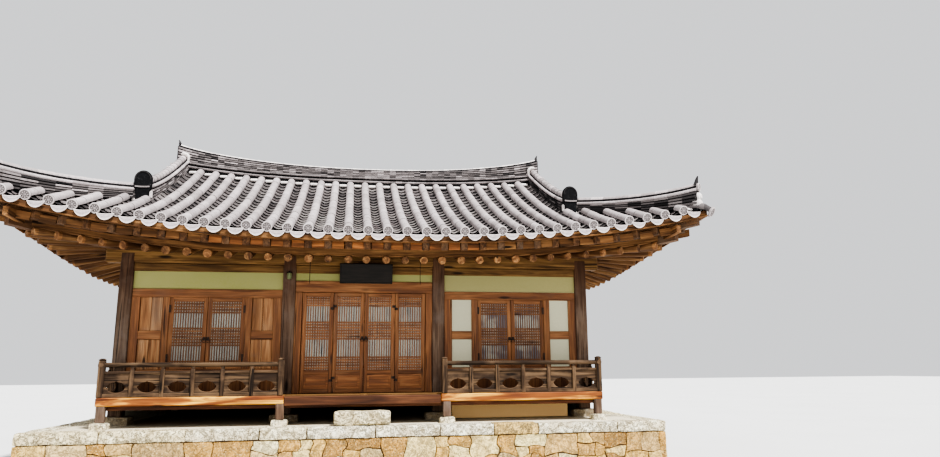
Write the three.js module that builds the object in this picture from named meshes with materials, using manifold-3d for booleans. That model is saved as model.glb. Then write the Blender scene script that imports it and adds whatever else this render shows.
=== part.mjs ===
// A one-storey timber house of three bays on a stone platform, with a porch and railings in front
// and a tiled hip-and-gable roof whose eaves and ridges curve up to the corners.
// Millimetres, +Z up, +X to the right along the front, +Y to the back.
// The origin is on the ground, under the middle of the main ridge.

import * as THREE from "three";
import { mergeVertices } from "three/addons/utils/BufferGeometryUtils.js";
import Module from "manifold-3d";

const wasm = await Module();
wasm.setup();

// Plan: column axes
const COLUMN_X = 3875; // outer column axis, from the middle of the front
const INNER_COLUMN_X = 1275; // inner column axis
const COLUMN_Y = 2650; // front and back column axes, from the ridge line
const SIDE_BAY = COLUMN_X - INNER_COLUMN_X;
const COLUMN = 210; // side of a square column
const EASE = 0.3; // gap between separate pieces that meet
const PAST = 1; // how far a cutter passes the face it opens, or a joined piece enters its neighbour
const LET_IN = 10; // how far a timber's end is let into its neighbour
const PURLIN_WIDTH = 200;
const TIE_WIDTH = 150;

// Levels
const PLATFORM_TOP = 750;
const PAD_TOP = 870; // top of the stones under the columns
const SILL_BOTTOM = 1010;
const FLOOR_TOP = 1190;
const WINDOW_SILL_TOP = 1600;
const SIDE_LINTEL = [2770, 2910]; // beam over the windows, bottom and top
const DOOR_LINTEL = [2874, 3070]; // beam over the four-leaf door
const TIE_BOTTOM = 3200; // tie beam that joins the column heads
const TIE_TOP = 3335;
const COLUMN_TOP = 3500;
const PURLIN_TOP = 3610;

// Platform and stepping stone
const PLATFORM_X = 4780;
const PLATFORM_Y = 4030;
const PAD = [460, 360]; // stone under a column, along and across its wall
const POST_PAD = [240, 220, 80]; // stone under a porch post
const PAD_SINK = 50; // how deep these stones lie in the platform
const LOW_WALL = { end: 3560, out: 30, depth: 100 }; // its middle lies this far out from the column axis
const STEP_STONE = { x: [-450, 410], y: [-3830, -3500], height: 200 };

// Walls: depths are measured outwards from the column axis
const FRAME_FACE = 75; // outer face of the timbers between columns
const FRAME_DEPTH = 120;
const RAIL_DEPTH = 70; // timbers let into the outer face of a plastered wall
const PLASTER_FACE = 50;
const PLASTER_DEPTH = 100;
const STRIP_DEPTH = 60; // plaster over a lintel
const STILE = 135; // upright beside a column
const JAMB = 110; // upright beside a window
const PANEL = 350; // field between stile and jamb
const PANEL_BOARD = { face: 40, back: 5 }; // boards of a panelled field
const WINDOW_SILL = 60; // height of the timber under a window
const WINDOW_INSET = 15; // leaves lie this far behind the frame's face
const THROUGH = 200; // reach of a cutter through a wall, either way from its axis
const WALL_RAIL = [2080, 2220]; // rail across the fields beside a window

// Leaves
const LEAF_DEPTH = 40;
const LEAF_GAP = 6; // running gap round a leaf
const LEAF_STILE = 60;
const LEAF_FIELD_DEPTH = 12; // paper or thin board held in a leaf
const DOOR_HALF = 1045; // half width of the four-leaf doorway
const DOOR_BOTTOM = FLOOR_TOP + LEAF_GAP;
const DOOR_TOP = DOOR_LINTEL[0] - LEAF_GAP;
const DOOR_PANEL = [1262, 1500]; // wooden panel at the foot of a door leaf
const DOOR_LATTICE_BOTTOM = 1560;
const WINDOW_HALF = 600;
const SMALL_WINDOW_HALF = 450;
const PIN_OUT = 12; // hinge axis, proud of the leaf's face
const KNUCKLE = { radius: 9, height: 40, strap: 50, thick: 6 };
const HINGE_LEVELS = [1420, 2620];

// Porch
const PORCH_Y = 3550; // front face of the porch beam
const PORCH_X = 3920;
const PORCH_BEAM = 100; // depth of the front beam
const BOARD = 40; // floor board thickness
const SIDE_BEAM_BOTTOM = 1065;
const MIDDLE_BEAM = [1035, 1175];
const MIDDLE_BEAM_END = INNER_COLUMN_X - 55;
const PORCH_INSET = 20; // of the side joists, from the porch's ends
const JOIST = { bottom: 1000, y: [-3440, -3320], width: 120 };
const PORCH_POST = 125;
const PORCH_POSTS = [-3840, -1275, 1315, 3840];

// Railing
const RAIL_PANELS = 6;
const RAIL_POST = 62;
const NEWEL = 90;
const NEWEL_TOP = 1752;
const RAIL = {
  bottom: { z: [1190, 1255], width: 70 },
  middle: { z: [1538, 1578], width: 50 },
  top: { z: [1632, 1700], width: 72 },
  boardWidth: 22,
};
const RAIL_Y = 3505; // centre line of the front run
const RAIL_INNER_X = 1280; // newel beside the middle bay

// Roof surface: the level of the round tiles' bed
const EAVE_LEVEL = 3710; // at the middle of the front
const SLOPE_AT_EAVE = 0.33;
const SLOPE_GAIN = 0.00003; // steeper towards the ridge, per mm
const OVERHANG = 1450;
const CORNER_REACH = 290; // extra overhang at a corner
const CORNER_RISE = 520; // lift of the eave at a corner
const CORNER_X = COLUMN_X + OVERHANG + CORNER_REACH;
const BARGE_X = 3880; // edge of the upper roof over the gable
const FOOT_Y = BARGE_X - (COLUMN_X - COLUMN_Y); // where the hip meets that edge
const EAVE_THICK = 165;
const RIDGE_THICK = 350;
const WALL_UNDER = 3832; // underside of the roof body above the wall
const GABLE_X = 3350; // centre of the gable wall
const GABLE_THICK = 80;
const GABLE_HALF = 1700;
const GABLE_SHOULDER = 150;
const BARGEBOARD = { thick: 50, depth: 290, tuck: 40 };

// Ridges
const RIDGE_WIDTH = 300;
const RIDGE_END_X = 3850;
const RIDGE_HEIGHT = 310;
const RIDGE_END_GAIN = 130;
const RIDGE_SEAT = 120; // how deep a ridge reaches into the bed before it is cut to it
const FALL_RIDGE_X = 3740; // ridge that falls along the gable edge
const FALL_RIDGE_WIDTH = 260;
const FALL_RIDGE_HEIGHT = 300;
const HIP_RIDGE_WIDTH = 230;
const HIP_RIDGE_HEIGHT = [240, 360]; // at its head and near the corner
const HIP_RIDGE_REACH = 1600; // from the corner column outwards, along each axis
const HIP_RIDGE_TAIL = 160; // and inwards
const FALL_RIDGE_PAST = 60; // the falling ridge passes the hip by this much
const END_TILE = { width: 300, thick: 70, height: 460, sink: 60 };

// Rafters
const RAFTER_STEP = 306;
const RAFTER_WIDTH = 110;
const RAFTER_DEPTH = 120;
const RAFTER_END_OUT = 3700; // distances out from the ridge line
const RAFTER_END_LEVEL = 3255; // underside of a rafter's end, middle of the front
const RAFTER_LIFT = 0.85; // share of the eave's rise that the rafters' ends follow
const RAFTER_SEAT = PURLIN_TOP + 2 * EASE; // underside over the purlin
const FAN_HEART = 875; // the fan's lines meet this far inside the corner column, along each axis
const FAN_SHARE = 0.4; // widest half of a fan rafter, as a share of its spacing there
const SETTLE_ROUNDS = 20; // turns of the search for the end of the hip's line
const HIP_STEP = 2; // rafters that meet the hip rafter end on it this far apart
const FLYING_END_OUT = 4000;
// Short upper rafters, their top this far below the roof body
const FLYING = { depth: 130, below: 8, board: 20 };
const SEAT_BELOW = 68; // the boards' top over the purlin, below the roof body
const HIP_RAFTER = { width: 150, height: 240, reach: 1590, tail: 350, tuck: 20 };
const PURLIN_REACH = 350; // of the front and back purlins, past the corner columns

// Name board
const NAME_BOARD = { x: [-435, 460], z: [3033, 3358], depth: 35, lean: 110, back: 85 };
const NAME_PEG = { apart: 300, width: 30, reach: 90, above: [20, 60] }; // above the underside of the tie beam

// Materials
const material = (color, roughness = 0.85) =>
  new THREE.MeshStandardMaterial({ color, roughness, flatShading: true });
const greyTimber = material(0x5d5249);
const redTimber = material(0x8a4a2a);
const paleTimber = material(0xa8703c);
const plaster = material(0xe8e0c4, 0.95);
const tanPlaster = material(0xb08a5a, 0.95);
const granite = material(0xcfc5ad, 0.9);
const tile = material(0x6f6c70, 0.8);
const darkBoard = material(0x1c1a19, 0.5);

// Solids
function solidOf(geometry) {
  const plain = geometry.index ? geometry.toNonIndexed() : geometry.clone();
  plain.deleteAttribute("normal");
  plain.deleteAttribute("uv");
  const merged = mergeVertices(plain, 1e-3);
  return new wasm.Manifold(
    new wasm.Mesh({
      numProp: 3,
      vertProperties: merged.attributes.position.array,
      triVerts: new Uint32Array(merged.index.array),
    }),
  );
}

function block([x0, x1], [y0, y1], [z0, z1]) {
  const box = new THREE.BoxGeometry(x1 - x0, y1 - y0, z1 - z0);
  return solidOf(box.translate((x0 + x1) / 2, (y0 + y1) / 2, (z0 + z1) / 2));
}

const join = (solids) => solids.reduce((whole, next) => whole.add(next));
const cut = (solid, cutters) => cutters.reduce((rest, next) => rest.subtract(next), solid);
const mix = (a, b, t) => a + (b - a) * t;
const around = (centre, width) => [centre - width / 2, centre + width / 2];
const grown = ([a, b]) => [a - EASE, b + EASE];

// A block with nx by ny by nz cells, each corner moved to place(u, v, w) with u, v and w from 0 to 1.
function shaped(nx, ny, nz, place) {
  const box = new THREE.BoxGeometry(1, 1, 1, nx, ny, nz);
  const at = box.attributes.position;
  const share = (value) => Math.round((value + 0.5) * 1e6) / 1e6;
  for (let i = 0; i < at.count; i++) {
    const point = place(share(at.getX(i)), share(at.getY(i)), share(at.getZ(i)));
    at.setXYZ(i, ...point.map((value) => Math.round(value * 100) / 100));
  }
  return solidOf(box);
}

const house = new THREE.Group();

function add(name, solid, finish, parent = house) {
  const shape = solid.getMesh();
  const geometry = new THREE.BufferGeometry();
  geometry.setAttribute("position", new THREE.BufferAttribute(shape.vertProperties, 3));
  geometry.setIndex(new THREE.BufferAttribute(shape.triVerts, 1));
  const mesh = new THREE.Mesh(geometry, finish.clone());
  mesh.name = name;
  parent.add(mesh);
  return mesh;
}

// Stone platform, with the stones under the columns and porch posts
const frontColumns = [-COLUMN_X, -INNER_COLUMN_X, INNER_COLUMN_X, COLUMN_X];
const padRanges = [
  ...frontColumns.flatMap((x) => [-COLUMN_Y, COLUMN_Y].map((y) => [around(x, PAD[0]), around(y, PAD[1])])),
  ...[-COLUMN_X, COLUMN_X].map((x) => [around(x, PAD[1]), around(0, PAD[0])]),
];

function platform() {
  const body = block([-PLATFORM_X, PLATFORM_X], [-PLATFORM_Y, PLATFORM_Y], [0, PLATFORM_TOP]);
  const pads = padRanges.map(([x, y]) => block(x, y, [PLATFORM_TOP - PAD_SINK, PAD_TOP]));
  const postPads = PORCH_POSTS.map((x) =>
    block(
      around(x, POST_PAD[0]),
      around(-PORCH_Y + PORCH_BEAM / 2, POST_PAD[1]),
      [PLATFORM_TOP - PAD_SINK, PLATFORM_TOP + POST_PAD[2]],
    ),
  );
  return join([body, ...pads, ...postPads]);
}

// Timber walls: everything is drawn for a wall that faces -Y, its column axes on y = -reach.
const walls = {
  front: { reach: COLUMN_Y, turn: 0 },
  right: { reach: COLUMN_X, turn: Math.PI / 2 },
  back: { reach: COLUMN_Y, turn: Math.PI },
  left: { reach: COLUMN_X, turn: -Math.PI / 2 },
};

const column = (x, reach) => block(around(x, COLUMN), around(-reach, COLUMN), [PAD_TOP, COLUMN_TOP]);
const padCut = (x, reach) =>
  block(grown(around(x, PAD[0])), grown(around(-reach, PAD[0])), [PLATFORM_TOP - PAST, PAD_TOP + EASE]);

// A timber let into the outer face of a plastered wall
const rail = (x, z, reach) => block(x, [-reach - FRAME_FACE, -reach - FRAME_FACE + RAIL_DEPTH], z);
// A timber as deep as the wall frame
const frameTimber = (x, z, reach) => block(x, [-reach - FRAME_FACE, -reach - FRAME_FACE + FRAME_DEPTH], z);

// Clear range between the columns at a and b
const clearBetween = (a, b) => [a + COLUMN / 2 + EASE, b - COLUMN / 2 - EASE];

// Purlin and tie beam over a row of columns, cut round the columns that aren't of its own piece
function headBeam(columns, ownColumns, reach, purlinEnd) {
  const ends = [columns[0], columns.at(-1)];
  const run = ownColumns.includes(ends[0]) ? ends : clearBetween(...ends);
  const purlin = block([-purlinEnd, purlinEnd], around(-reach, PURLIN_WIDTH), [TIE_TOP, PURLIN_TOP]);
  const tie = block(run, around(-reach, TIE_WIDTH), [TIE_BOTTOM, TIE_TOP + PAST]);
  const notches = columns
    .filter((x) => !ownColumns.includes(x))
    .map((x) =>
      block(grown(around(x, COLUMN)), grown(around(-reach, COLUMN)), [TIE_BOTTOM - PAST, COLUMN_TOP + EASE]),
    );
  return cut(join([purlin, tie]), notches);
}

// Leaves of doors and windows, drawn with their outer face on y = 0 and their middle on x = 0
function leaf(width, [bottom, top], fields) {
  const half = width / 2;
  const inner = [-half + LEAF_STILE, half - LEAF_STILE];
  const body = block([-half, half], [0, LEAF_DEPTH], [bottom, top]);
  const behind = (LEAF_DEPTH - LEAF_FIELD_DEPTH) / 2;
  const pockets = fields.flatMap((z) => [
    block(inner, [-PAST, behind], z),
    block(inner, [LEAF_DEPTH - behind, LEAF_DEPTH + PAST], z),
  ]);
  return cut(body, pockets);
}

function windowLeaves(half, [bottom, top]) {
  const width = half - LEAF_GAP / 2;
  const z = [bottom + EASE, top - EASE];
  const field = [bottom + LEAF_STILE, top - LEAF_STILE];
  const pair = [-1, 1].map((side) => leaf(width, z, [field]).translate([(side * half) / 2, 0, 0]));
  const frame = block([-LEAF_GAP, LEAF_GAP], [LEAF_DEPTH / 2, LEAF_DEPTH], z);
  const edges = [-1, 1].map((side) =>
    block(around(side * (half - LEAF_GAP / 2), LEAF_GAP - 2 * EASE), [LEAF_DEPTH / 2, LEAF_DEPTH], z),
  );
  return join([...pair, frame, ...edges]);
}

// Front bays
function sideBayFrame(centre, panelled) {
  const clear = clearBetween(centre - SIDE_BAY / 2, centre + SIDE_BAY / 2);
  const reach = COLUMN_Y;
  const upright = panelled ? frameTimber : rail;
  const timbers = [
    block(clear, around(-reach, COLUMN), [SILL_BOTTOM, FLOOR_TOP]),
    frameTimber(clear, [WINDOW_SILL_TOP - WINDOW_SILL, WINDOW_SILL_TOP], reach),
    rail(clear, [FLOOR_TOP - LET_IN, WINDOW_SILL_TOP - WINDOW_SILL + LET_IN], reach),
    upright(clear, SIDE_LINTEL, reach),
  ];
  const uprightZ = [FLOOR_TOP - LET_IN, SIDE_LINTEL[1]];
  for (const hand of [-1, 1]) {
    const span = (a, b) => [centre + Math.min(hand * a, hand * b), centre + Math.max(hand * a, hand * b)];
    const edge = clear[1] - centre;
    const field = span(edge - STILE + PAST, edge - STILE - PANEL - PAST);
    timbers.push(upright(span(edge, edge - STILE), uprightZ, reach));
    timbers.push(frameTimber(span(WINDOW_HALF, edge - STILE - PANEL), uprightZ, reach));
    timbers.push(rail(field, WALL_RAIL, reach));
    if (panelled) {
      const boardZ = [WINDOW_SILL_TOP - LET_IN, SIDE_LINTEL[0] + LET_IN];
      timbers.push(block(field, [-reach - PANEL_BOARD.face, -reach - PANEL_BOARD.back], boardZ));
    }
  }
  return join(timbers);
}

function strip(x, bottom) {
  const face = -COLUMN_Y - PLASTER_FACE;
  return block(x, [face, face + STRIP_DEPTH], [bottom + EASE, TIE_BOTTOM - EASE]);
}

// Plaster of the right front bay: fields beside the window and a strip over it, behind the let-in timbers
function rightBayPlaster(centre) {
  const clear = clearBetween(centre - SIDE_BAY / 2, centre + SIDE_BAY / 2);
  const edge = clear[1] - centre;
  const y = [-COLUMN_Y - PLASTER_FACE, -COLUMN_Y - PLASTER_FACE + PLASTER_DEPTH];
  const behind = [y[0] - PAST, -COLUMN_Y - FRAME_FACE + RAIL_DEPTH + EASE];
  const slab = block(clear, y, [WINDOW_SILL_TOP + EASE, TIE_BOTTOM - EASE]);
  const opening = block(
    grown(around(centre, 2 * (edge - STILE - PANEL))),
    [y[0] - PAST, y[1] + PAST],
    [0, SIDE_LINTEL[1] + EASE],
  );
  const stiles = [-1, 1].map((hand) =>
    block(grown(around(centre + hand * (edge - STILE / 2), STILE)), behind, [0, SIDE_LINTEL[1] + EASE]),
  );
  const rails = [SIDE_LINTEL, WALL_RAIL].map((z) => block(clear, behind, grown(z)));
  return cut(slab, [opening, ...stiles, ...rails]);
}

function middleBayFrame() {
  const clear = clearBetween(-INNER_COLUMN_X, INNER_COLUMN_X);
  const post = (side) => (side < 0 ? [clear[0], -DOOR_HALF - LEAF_GAP] : [DOOR_HALF + LEAF_GAP, clear[1]]);
  return join([
    block(clear, around(-COLUMN_Y, COLUMN), [SILL_BOTTOM, FLOOR_TOP]),
    frameTimber(clear, DOOR_LINTEL, COLUMN_Y),
    ...[-1, 1].map((side) => frameTimber(post(side), [FLOOR_TOP - LET_IN, DOOR_LINTEL[1]], COLUMN_Y)),
  ]);
}

// A hinge knuckle on the axis at x = 0, with a strap on the leaf's face towards `side`
function knuckle(side, bottom) {
  const z = [bottom, bottom + KNUCKLE.height];
  const barrel = new THREE.CylinderGeometry(KNUCKLE.radius, KNUCKLE.radius, KNUCKLE.height, 8);
  barrel.rotateX(Math.PI / 2).translate(0, -PIN_OUT, bottom + KNUCKLE.height / 2);
  const reach = side < 0 ? [-KNUCKLE.strap, 0] : [0, KNUCKLE.strap];
  return solidOf(barrel).add(block(reach, [-KNUCKLE.thick, 2], z));
}

// The four door leaves: the outer two are fixed, the inner two hang on them
function doorLeaves() {
  const step = DOOR_HALF / 2;
  const width = step - LEAF_GAP;
  const fields = [DOOR_PANEL, [DOOR_LATTICE_BOTTOM, DOOR_TOP - LEAF_STILE]];
  const face = -COLUMN_Y - FRAME_FACE;
  for (const side of [-1, 1]) {
    const word = side < 0 ? "left" : "right";
    const hinge = side * step; // x of the hinge axis
    const fixed = leaf(width, [FLOOR_TOP + EASE, DOOR_LINTEL[0] - EASE], fields);
    const outer = fixed.translate([(side * step) / 2, 0, 0]);
    const edge = block(
      side < 0 ? [-step - LEAF_GAP + EASE, -step + LEAF_GAP] : [step - LEAF_GAP, step + LEAF_GAP - EASE],
      [LEAF_DEPTH / 2, LEAF_DEPTH],
      [FLOOR_TOP + EASE, DOOR_LINTEL[0] - EASE],
    );
    const lower = HINGE_LEVELS.map((z) => knuckle(side, z - KNUCKLE.height - EASE));
    add("door_outer_" + word, join([outer, edge, ...lower]), redTimber).position.set(hinge, face, 0);
    const centre = leaf(width, [DOOR_BOTTOM, DOOR_TOP], fields).translate([(-side * step) / 2, 0, 0]);
    const upper = HINGE_LEVELS.map((z) => knuckle(-side, z));
    add("door_centre_" + word, join([centre, ...upper]), redTimber).position.set(hinge, face, 0);
  }
}

// A plastered bay of a side or back wall between columns at a and b, with the frame's timbers let in
function plasterBay(a, b, reach, timbers, opening) {
  const slab = block(clearBetween(a, b), [-reach - PLASTER_FACE, -reach - PLASTER_FACE + PLASTER_DEPTH], [
    PLATFORM_TOP + EASE,
    TIE_BOTTOM - EASE,
  ]);
  const cutters = [padCut(a, reach), padCut(b, reach), ...timbers];
  if (opening) cutters.push(opening);
  return cut(slab, cutters);
}

const wallRailLevels = [[SILL_BOTTOM, FLOOR_TOP], WALL_RAIL, SIDE_LINTEL];

// Posts and sill of a window whose middle is at x
function windowPosts(x, half) {
  const z = [FLOOR_TOP - LET_IN, SIDE_LINTEL[1]];
  return [
    ...[-1, 1].map((side) => ({ x: around(x + side * (half + JAMB / 2), JAMB), z })),
    { x: around(x, 2 * half + 2 * JAMB), z: [WINDOW_SILL_TOP - WINDOW_SILL, WINDOW_SILL_TOP] },
  ];
}

// A wall of a side or the back: its frame, its plaster bays and its window
function plainWall(name, columns, ownColumns, purlinEnd, windowX, half) {
  const { reach, turn } = walls[name];
  const group = new THREE.Group();
  group.rotation.z = turn;
  house.add(group);
  const ends = [columns[0], columns.at(-1)];
  const run = ownColumns.includes(ends[0]) ? ends : clearBetween(...ends);
  const railPieces = wallRailLevels.map((z) => ({ x: run, z }));
  const windowGap = { x: around(windowX, 2 * half), z: [WINDOW_SILL_TOP, SIDE_LINTEL[0]] };
  const through = around(-reach, 2 * THROUGH);
  const windowCut = block(grown(windowGap.x), through, grown(windowGap.z));
  const clearWindow = block(windowGap.x, through, windowGap.z);
  const timbers = [
    ...railPieces.map(({ x, z }) => rail(x, z, reach).subtract(clearWindow)),
    ...windowPosts(windowX, half).map(({ x, z }) => rail(x, z, reach)),
  ];
  const timberCuts = [...railPieces, ...windowPosts(windowX, half)].map(({ x, z }) =>
    block(grown(x), [-reach - THROUGH, -reach - FRAME_FACE + RAIL_DEPTH + EASE], grown(z)),
  );
  const own = ownColumns.map((x) => column(x, reach));
  const head = headBeam(columns, ownColumns, reach, purlinEnd);
  add(name + "_frame", join([head, ...own, ...timbers]), greyTimber, group);
  columns.slice(1).forEach((b, i) => {
    const a = columns[i];
    const hasWindow = windowX > a && windowX < b;
    const bay = plasterBay(a, b, reach, timberCuts, hasWindow ? windowCut : undefined);
    add(name + "_plaster_" + (i + 1), bay, plaster, group);
  });
  const leaves = windowLeaves(half, [WINDOW_SILL_TOP, SIDE_LINTEL[0]]);
  add(name + "_window", leaves.translate([windowX, -reach - FRAME_FACE + WINDOW_INSET, 0]), redTimber, group);
}

// Floors
const FLOOR_DEPTH = 100;
const FLOOR_BEAM = { width: 150, depth: 280 };

function innerFloor() {
  const x = COLUMN_X - PLASTER_DEPTH + PLASTER_FACE - EASE;
  const back = COLUMN_Y - PLASTER_DEPTH + PLASTER_FACE - EASE;
  const slab = block([-x, x], [-COLUMN_Y + COLUMN / 2 + EASE, back], [FLOOR_TOP - FLOOR_DEPTH, FLOOR_TOP]);
  const columnCuts = [
    ...frontColumns.map((at) => [at, COLUMN_Y]),
    [-COLUMN_X, 0],
    [COLUMN_X, 0],
    [-COLUMN_X, -COLUMN_Y],
    [COLUMN_X, -COLUMN_Y],
  ].map(([cx, cy]) => block(grown(around(cx, COLUMN)), grown(around(cy, COLUMN)), [0, COLUMN_TOP]));
  const reach = COLUMN_Y - COLUMN / 2 - EASE;
  const beamZ = [FLOOR_TOP - FLOOR_BEAM.depth, FLOOR_TOP - FLOOR_DEPTH + PAST];
  const beams = [-INNER_COLUMN_X, INNER_COLUMN_X].map((at) =>
    block(around(at, FLOOR_BEAM.width), [-reach, reach], beamZ),
  );
  return join([cut(slab, columnCuts), ...beams]);
}

// Low plastered wall under the sill of the right front bay, open beside the corner column
function lowWall() {
  const x = [INNER_COLUMN_X + PAD[0] / 2 + EASE, LOW_WALL.end];
  const y = around(-COLUMN_Y - LOW_WALL.out, LOW_WALL.depth);
  return block(x, y, [PLATFORM_TOP + EASE, SILL_BOTTOM - EASE]);
}

function porchFrame() {
  const front = [-PORCH_Y, -PORCH_Y + PORCH_BEAM];
  const columnFace = -COLUMN_Y - COLUMN / 2 - EASE;
  const under = FLOOR_TOP - BOARD - EASE;
  const inner = MIDDLE_BEAM_END;
  const end = PORCH_X - PORCH_INSET;
  const beams = [
    block([-PORCH_X, -inner], front, [SIDE_BEAM_BOTTOM, FLOOR_TOP]),
    block([inner, PORCH_X], front, [SIDE_BEAM_BOTTOM, FLOOR_TOP]),
    block([-inner - PAST, inner + PAST], front, MIDDLE_BEAM),
    block([-end, end], [front[1] - PAST, JOIST.y[1]], [JOIST.bottom, under]),
  ];
  for (const x of frontColumns) {
    const at = Math.abs(x) === COLUMN_X ? x - Math.sign(x) * PORCH_INSET : x;
    beams.push(block(around(at, JOIST.width), [JOIST.y[1] - PAST, columnFace], [JOIST.bottom, under]));
  }
  const posts = PORCH_POSTS.map((x) =>
    block(around(x, PORCH_POST), around(-PORCH_Y + PORCH_BEAM / 2, PORCH_BEAM - LET_IN), [
      PLATFORM_TOP + POST_PAD[2] + EASE,
      SIDE_BEAM_BOTTOM + LET_IN,
    ]),
  );
  return join([...beams, ...posts]);
}

const porchFloor = () =>
  block([-PORCH_X, PORCH_X], [-PORCH_Y + PORCH_BEAM + EASE, -COLUMN_Y - COLUMN / 2 - EASE], [
    FLOOR_TOP - BOARD,
    FLOOR_TOP,
  ]);

// Railing along the front of a side bay, with a return to the corner column
function railing(side) {
  const foot = FLOOR_TOP + EASE;
  const outer = PORCH_X - NEWEL / 2;
  const inner = RAIL_INNER_X;
  const columnFace = -COLUMN_Y - COLUMN / 2 - EASE;
  const run = side < 0 ? [-outer, -inner] : [inner, outer];
  const back = [-RAIL_Y, columnFace];
  const onFront = (width, z) => block(run, around(-RAIL_Y, width), z);
  const onReturn = (width, z) => block(around(side * outer, width), back, z);
  const post = (x, y, width, top) => block(around(x, width), around(y, width), [foot, top]);
  const postTop = RAIL.top.z[0] + PAST;
  const pieces = [
    post(side * inner, -RAIL_Y, NEWEL, NEWEL_TOP),
    post(side * outer, -RAIL_Y, NEWEL, NEWEL_TOP),
    post(side * outer, mix(-RAIL_Y, columnFace, 0.5), RAIL_POST, postTop),
  ];
  for (const place of [onFront, onReturn]) {
    pieces.push(
      place(RAIL.bottom.width, [foot, RAIL.bottom.z[1]]),
      place(RAIL.middle.width, RAIL.middle.z),
      place(RAIL.top.width, RAIL.top.z),
      place(RAIL.boardWidth, [RAIL.bottom.z[1] - PAST, RAIL.middle.z[0] + PAST]),
    );
  }
  for (let i = 1; i < RAIL_PANELS; i++) {
    pieces.push(post(side * mix(inner, outer, i / RAIL_PANELS), -RAIL_Y, RAIL_POST, postTop));
  }
  return join(pieces);
}

// Roof surface. `along` runs from the middle of a side to its corner, `across` from the ridge line out.
// Both are measured as on the front; a side slope uses the same surface through these two rules.
const overhang = (along) => OVERHANG + CORNER_REACH * (along / CORNER_X) ** 6;
const rise = (along) => CORNER_RISE * (along / CORNER_X) ** 2.5;
const eaveAt = (along) => COLUMN_Y + overhang(along);
const alongSide = (y) => (y < FOOT_Y ? (y * BARGE_X) / FOOT_Y : y + BARGE_X - FOOT_Y);
const acrossSide = (x) => x - (BARGE_X - FOOT_Y);

function roofTop(along, across) {
  const inward = eaveAt(along) - across;
  return EAVE_LEVEL + SLOPE_AT_EAVE * inward + SLOPE_GAIN * inward ** 2 + rise(along);
}

const CORNER_UNDER = EAVE_LEVEL + CORNER_RISE - EAVE_THICK;

function roofUnder(along, across) {
  if (across < FOOT_Y) {
    return mix(WALL_UNDER, roofTop(along, 0) - RIDGE_THICK, (FOOT_Y - across) / FOOT_Y);
  }
  const head = Math.max(FOOT_Y, along - (BARGE_X - FOOT_Y));
  const outward = Math.max(0, along - BARGE_X) / (CORNER_X - BARGE_X);
  const headUnder = mix(WALL_UNDER, CORNER_UNDER, outward ** 1.5);
  const eaveUnder = roofTop(along, eaveAt(along)) - EAVE_THICK;
  const reach = eaveAt(along) - head;
  return mix(headUnder, eaveUnder, reach > 0 ? (across - head) / reach : 1);
}

const EAVE_CELLS = 3;
const UPPER_CELLS = 4;
const CORNER_CELLS = 5;
const FRONT_CELLS = 10;
const SIDE_CELLS = 8;
const BLUNT = 20; // the corner block stops this short of the very tip

// The front slope: gap is kept to its neighbours, lift and sink move its top up and its underside down.
function frontSlope(gap, lift = 0, sink = 0) {
  const point = (x, y, w) => {
    const along = Math.abs(x);
    return [x, -y, w > 0.5 ? roofTop(along, y) + lift : roofUnder(along, y) - sink];
  };
  const rows = EAVE_CELLS + UPPER_CELLS;
  const middle = shaped(FRONT_CELLS, rows, 1, (u, v, w) => {
    const x = mix(-BARGE_X, BARGE_X, u);
    const row = v * rows;
    const y =
      row <= EAVE_CELLS
        ? mix(eaveAt(Math.abs(x)), FOOT_Y, row / EAVE_CELLS)
        : mix(FOOT_Y, gap, (row - EAVE_CELLS) / UPPER_CELLS);
    return point(x, y, w);
  });
  const corners = [-1, 1].map((hand) =>
    shaped(CORNER_CELLS, EAVE_CELLS, 1, (u, v, w) => {
      const out = mix(BARGE_X, CORNER_X - BLUNT, hand > 0 ? u : 1 - u);
      const hip = out - (BARGE_X - FOOT_Y) + (out > BARGE_X ? gap : 0);
      return point(hand * out, mix(eaveAt(out), hip, v), w);
    }),
  );
  return join([middle, ...corners]);
}

// The right-hand slope under the gable and round to both hips
function sideSlope(lift = 0, sink = 0, inner = GABLE_X - GABLE_THICK) {
  const level = (along, across, w) =>
    w > 0.5 ? roofTop(along, across) + lift : roofUnder(along, across) - sink;
  const rows = EAVE_CELLS + 1;
  const middle = shaped(rows, SIDE_CELLS, 1, (u, v, w) => {
    const y = mix(-FOOT_Y, FOOT_Y, v);
    const along = alongSide(Math.abs(y));
    const row = u * rows;
    const eave = eaveAt(along) + (BARGE_X - FOOT_Y);
    const x = row <= 1 ? mix(inner, BARGE_X, row) : mix(BARGE_X, eave, (row - 1) / EAVE_CELLS);
    return [x, y, level(along, acrossSide(x), w)];
  });
  const corners = [-1, 1].map((side) =>
    shaped(EAVE_CELLS, CORNER_CELLS, 1, (u, v, w) => {
      const out = mix(FOOT_Y, CORNER_X - (BARGE_X - FOOT_Y) - BLUNT, side > 0 ? v : 1 - v);
      const along = alongSide(out);
      const x = mix(along, eaveAt(along) + (BARGE_X - FOOT_Y), u);
      return [x, side * out, level(along, acrossSide(x), w)];
    }),
  );
  return join([middle, ...corners]);
}

// Cutters: all that lies above the underside of a slope, or below its top
const turned = (solid) => solid.rotate([0, 0, 180]);
const HIGH = 1500;
const front = frontSlope(EASE);
const aboveFront = frontSlope(-PAST, HIGH, EASE);
const belowFront = frontSlope(-PAST, EASE, HIGH);
const aboveBoth = [aboveFront, turned(aboveFront)];
const belowBoth = [belowFront, turned(belowFront)];
const right = cut(sideSlope(), aboveBoth);
const belowRight = sideSlope(EASE, HIGH);
const aboveRight = sideSlope(HIGH, EASE);

// A tile ridge lofted along a path: at(t) gives its foot point, and its side vector in plan
function ridgeSolid(steps, width, at) {
  return shaped(steps, 1, 1, (u, v, w) => {
    const { x, y, sideX, sideY, foot, top } = at(u);
    const reach = (v - 0.5) * width;
    return [x + sideX * reach, y + sideY * reach, w > 0.5 ? top : foot];
  });
}

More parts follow.
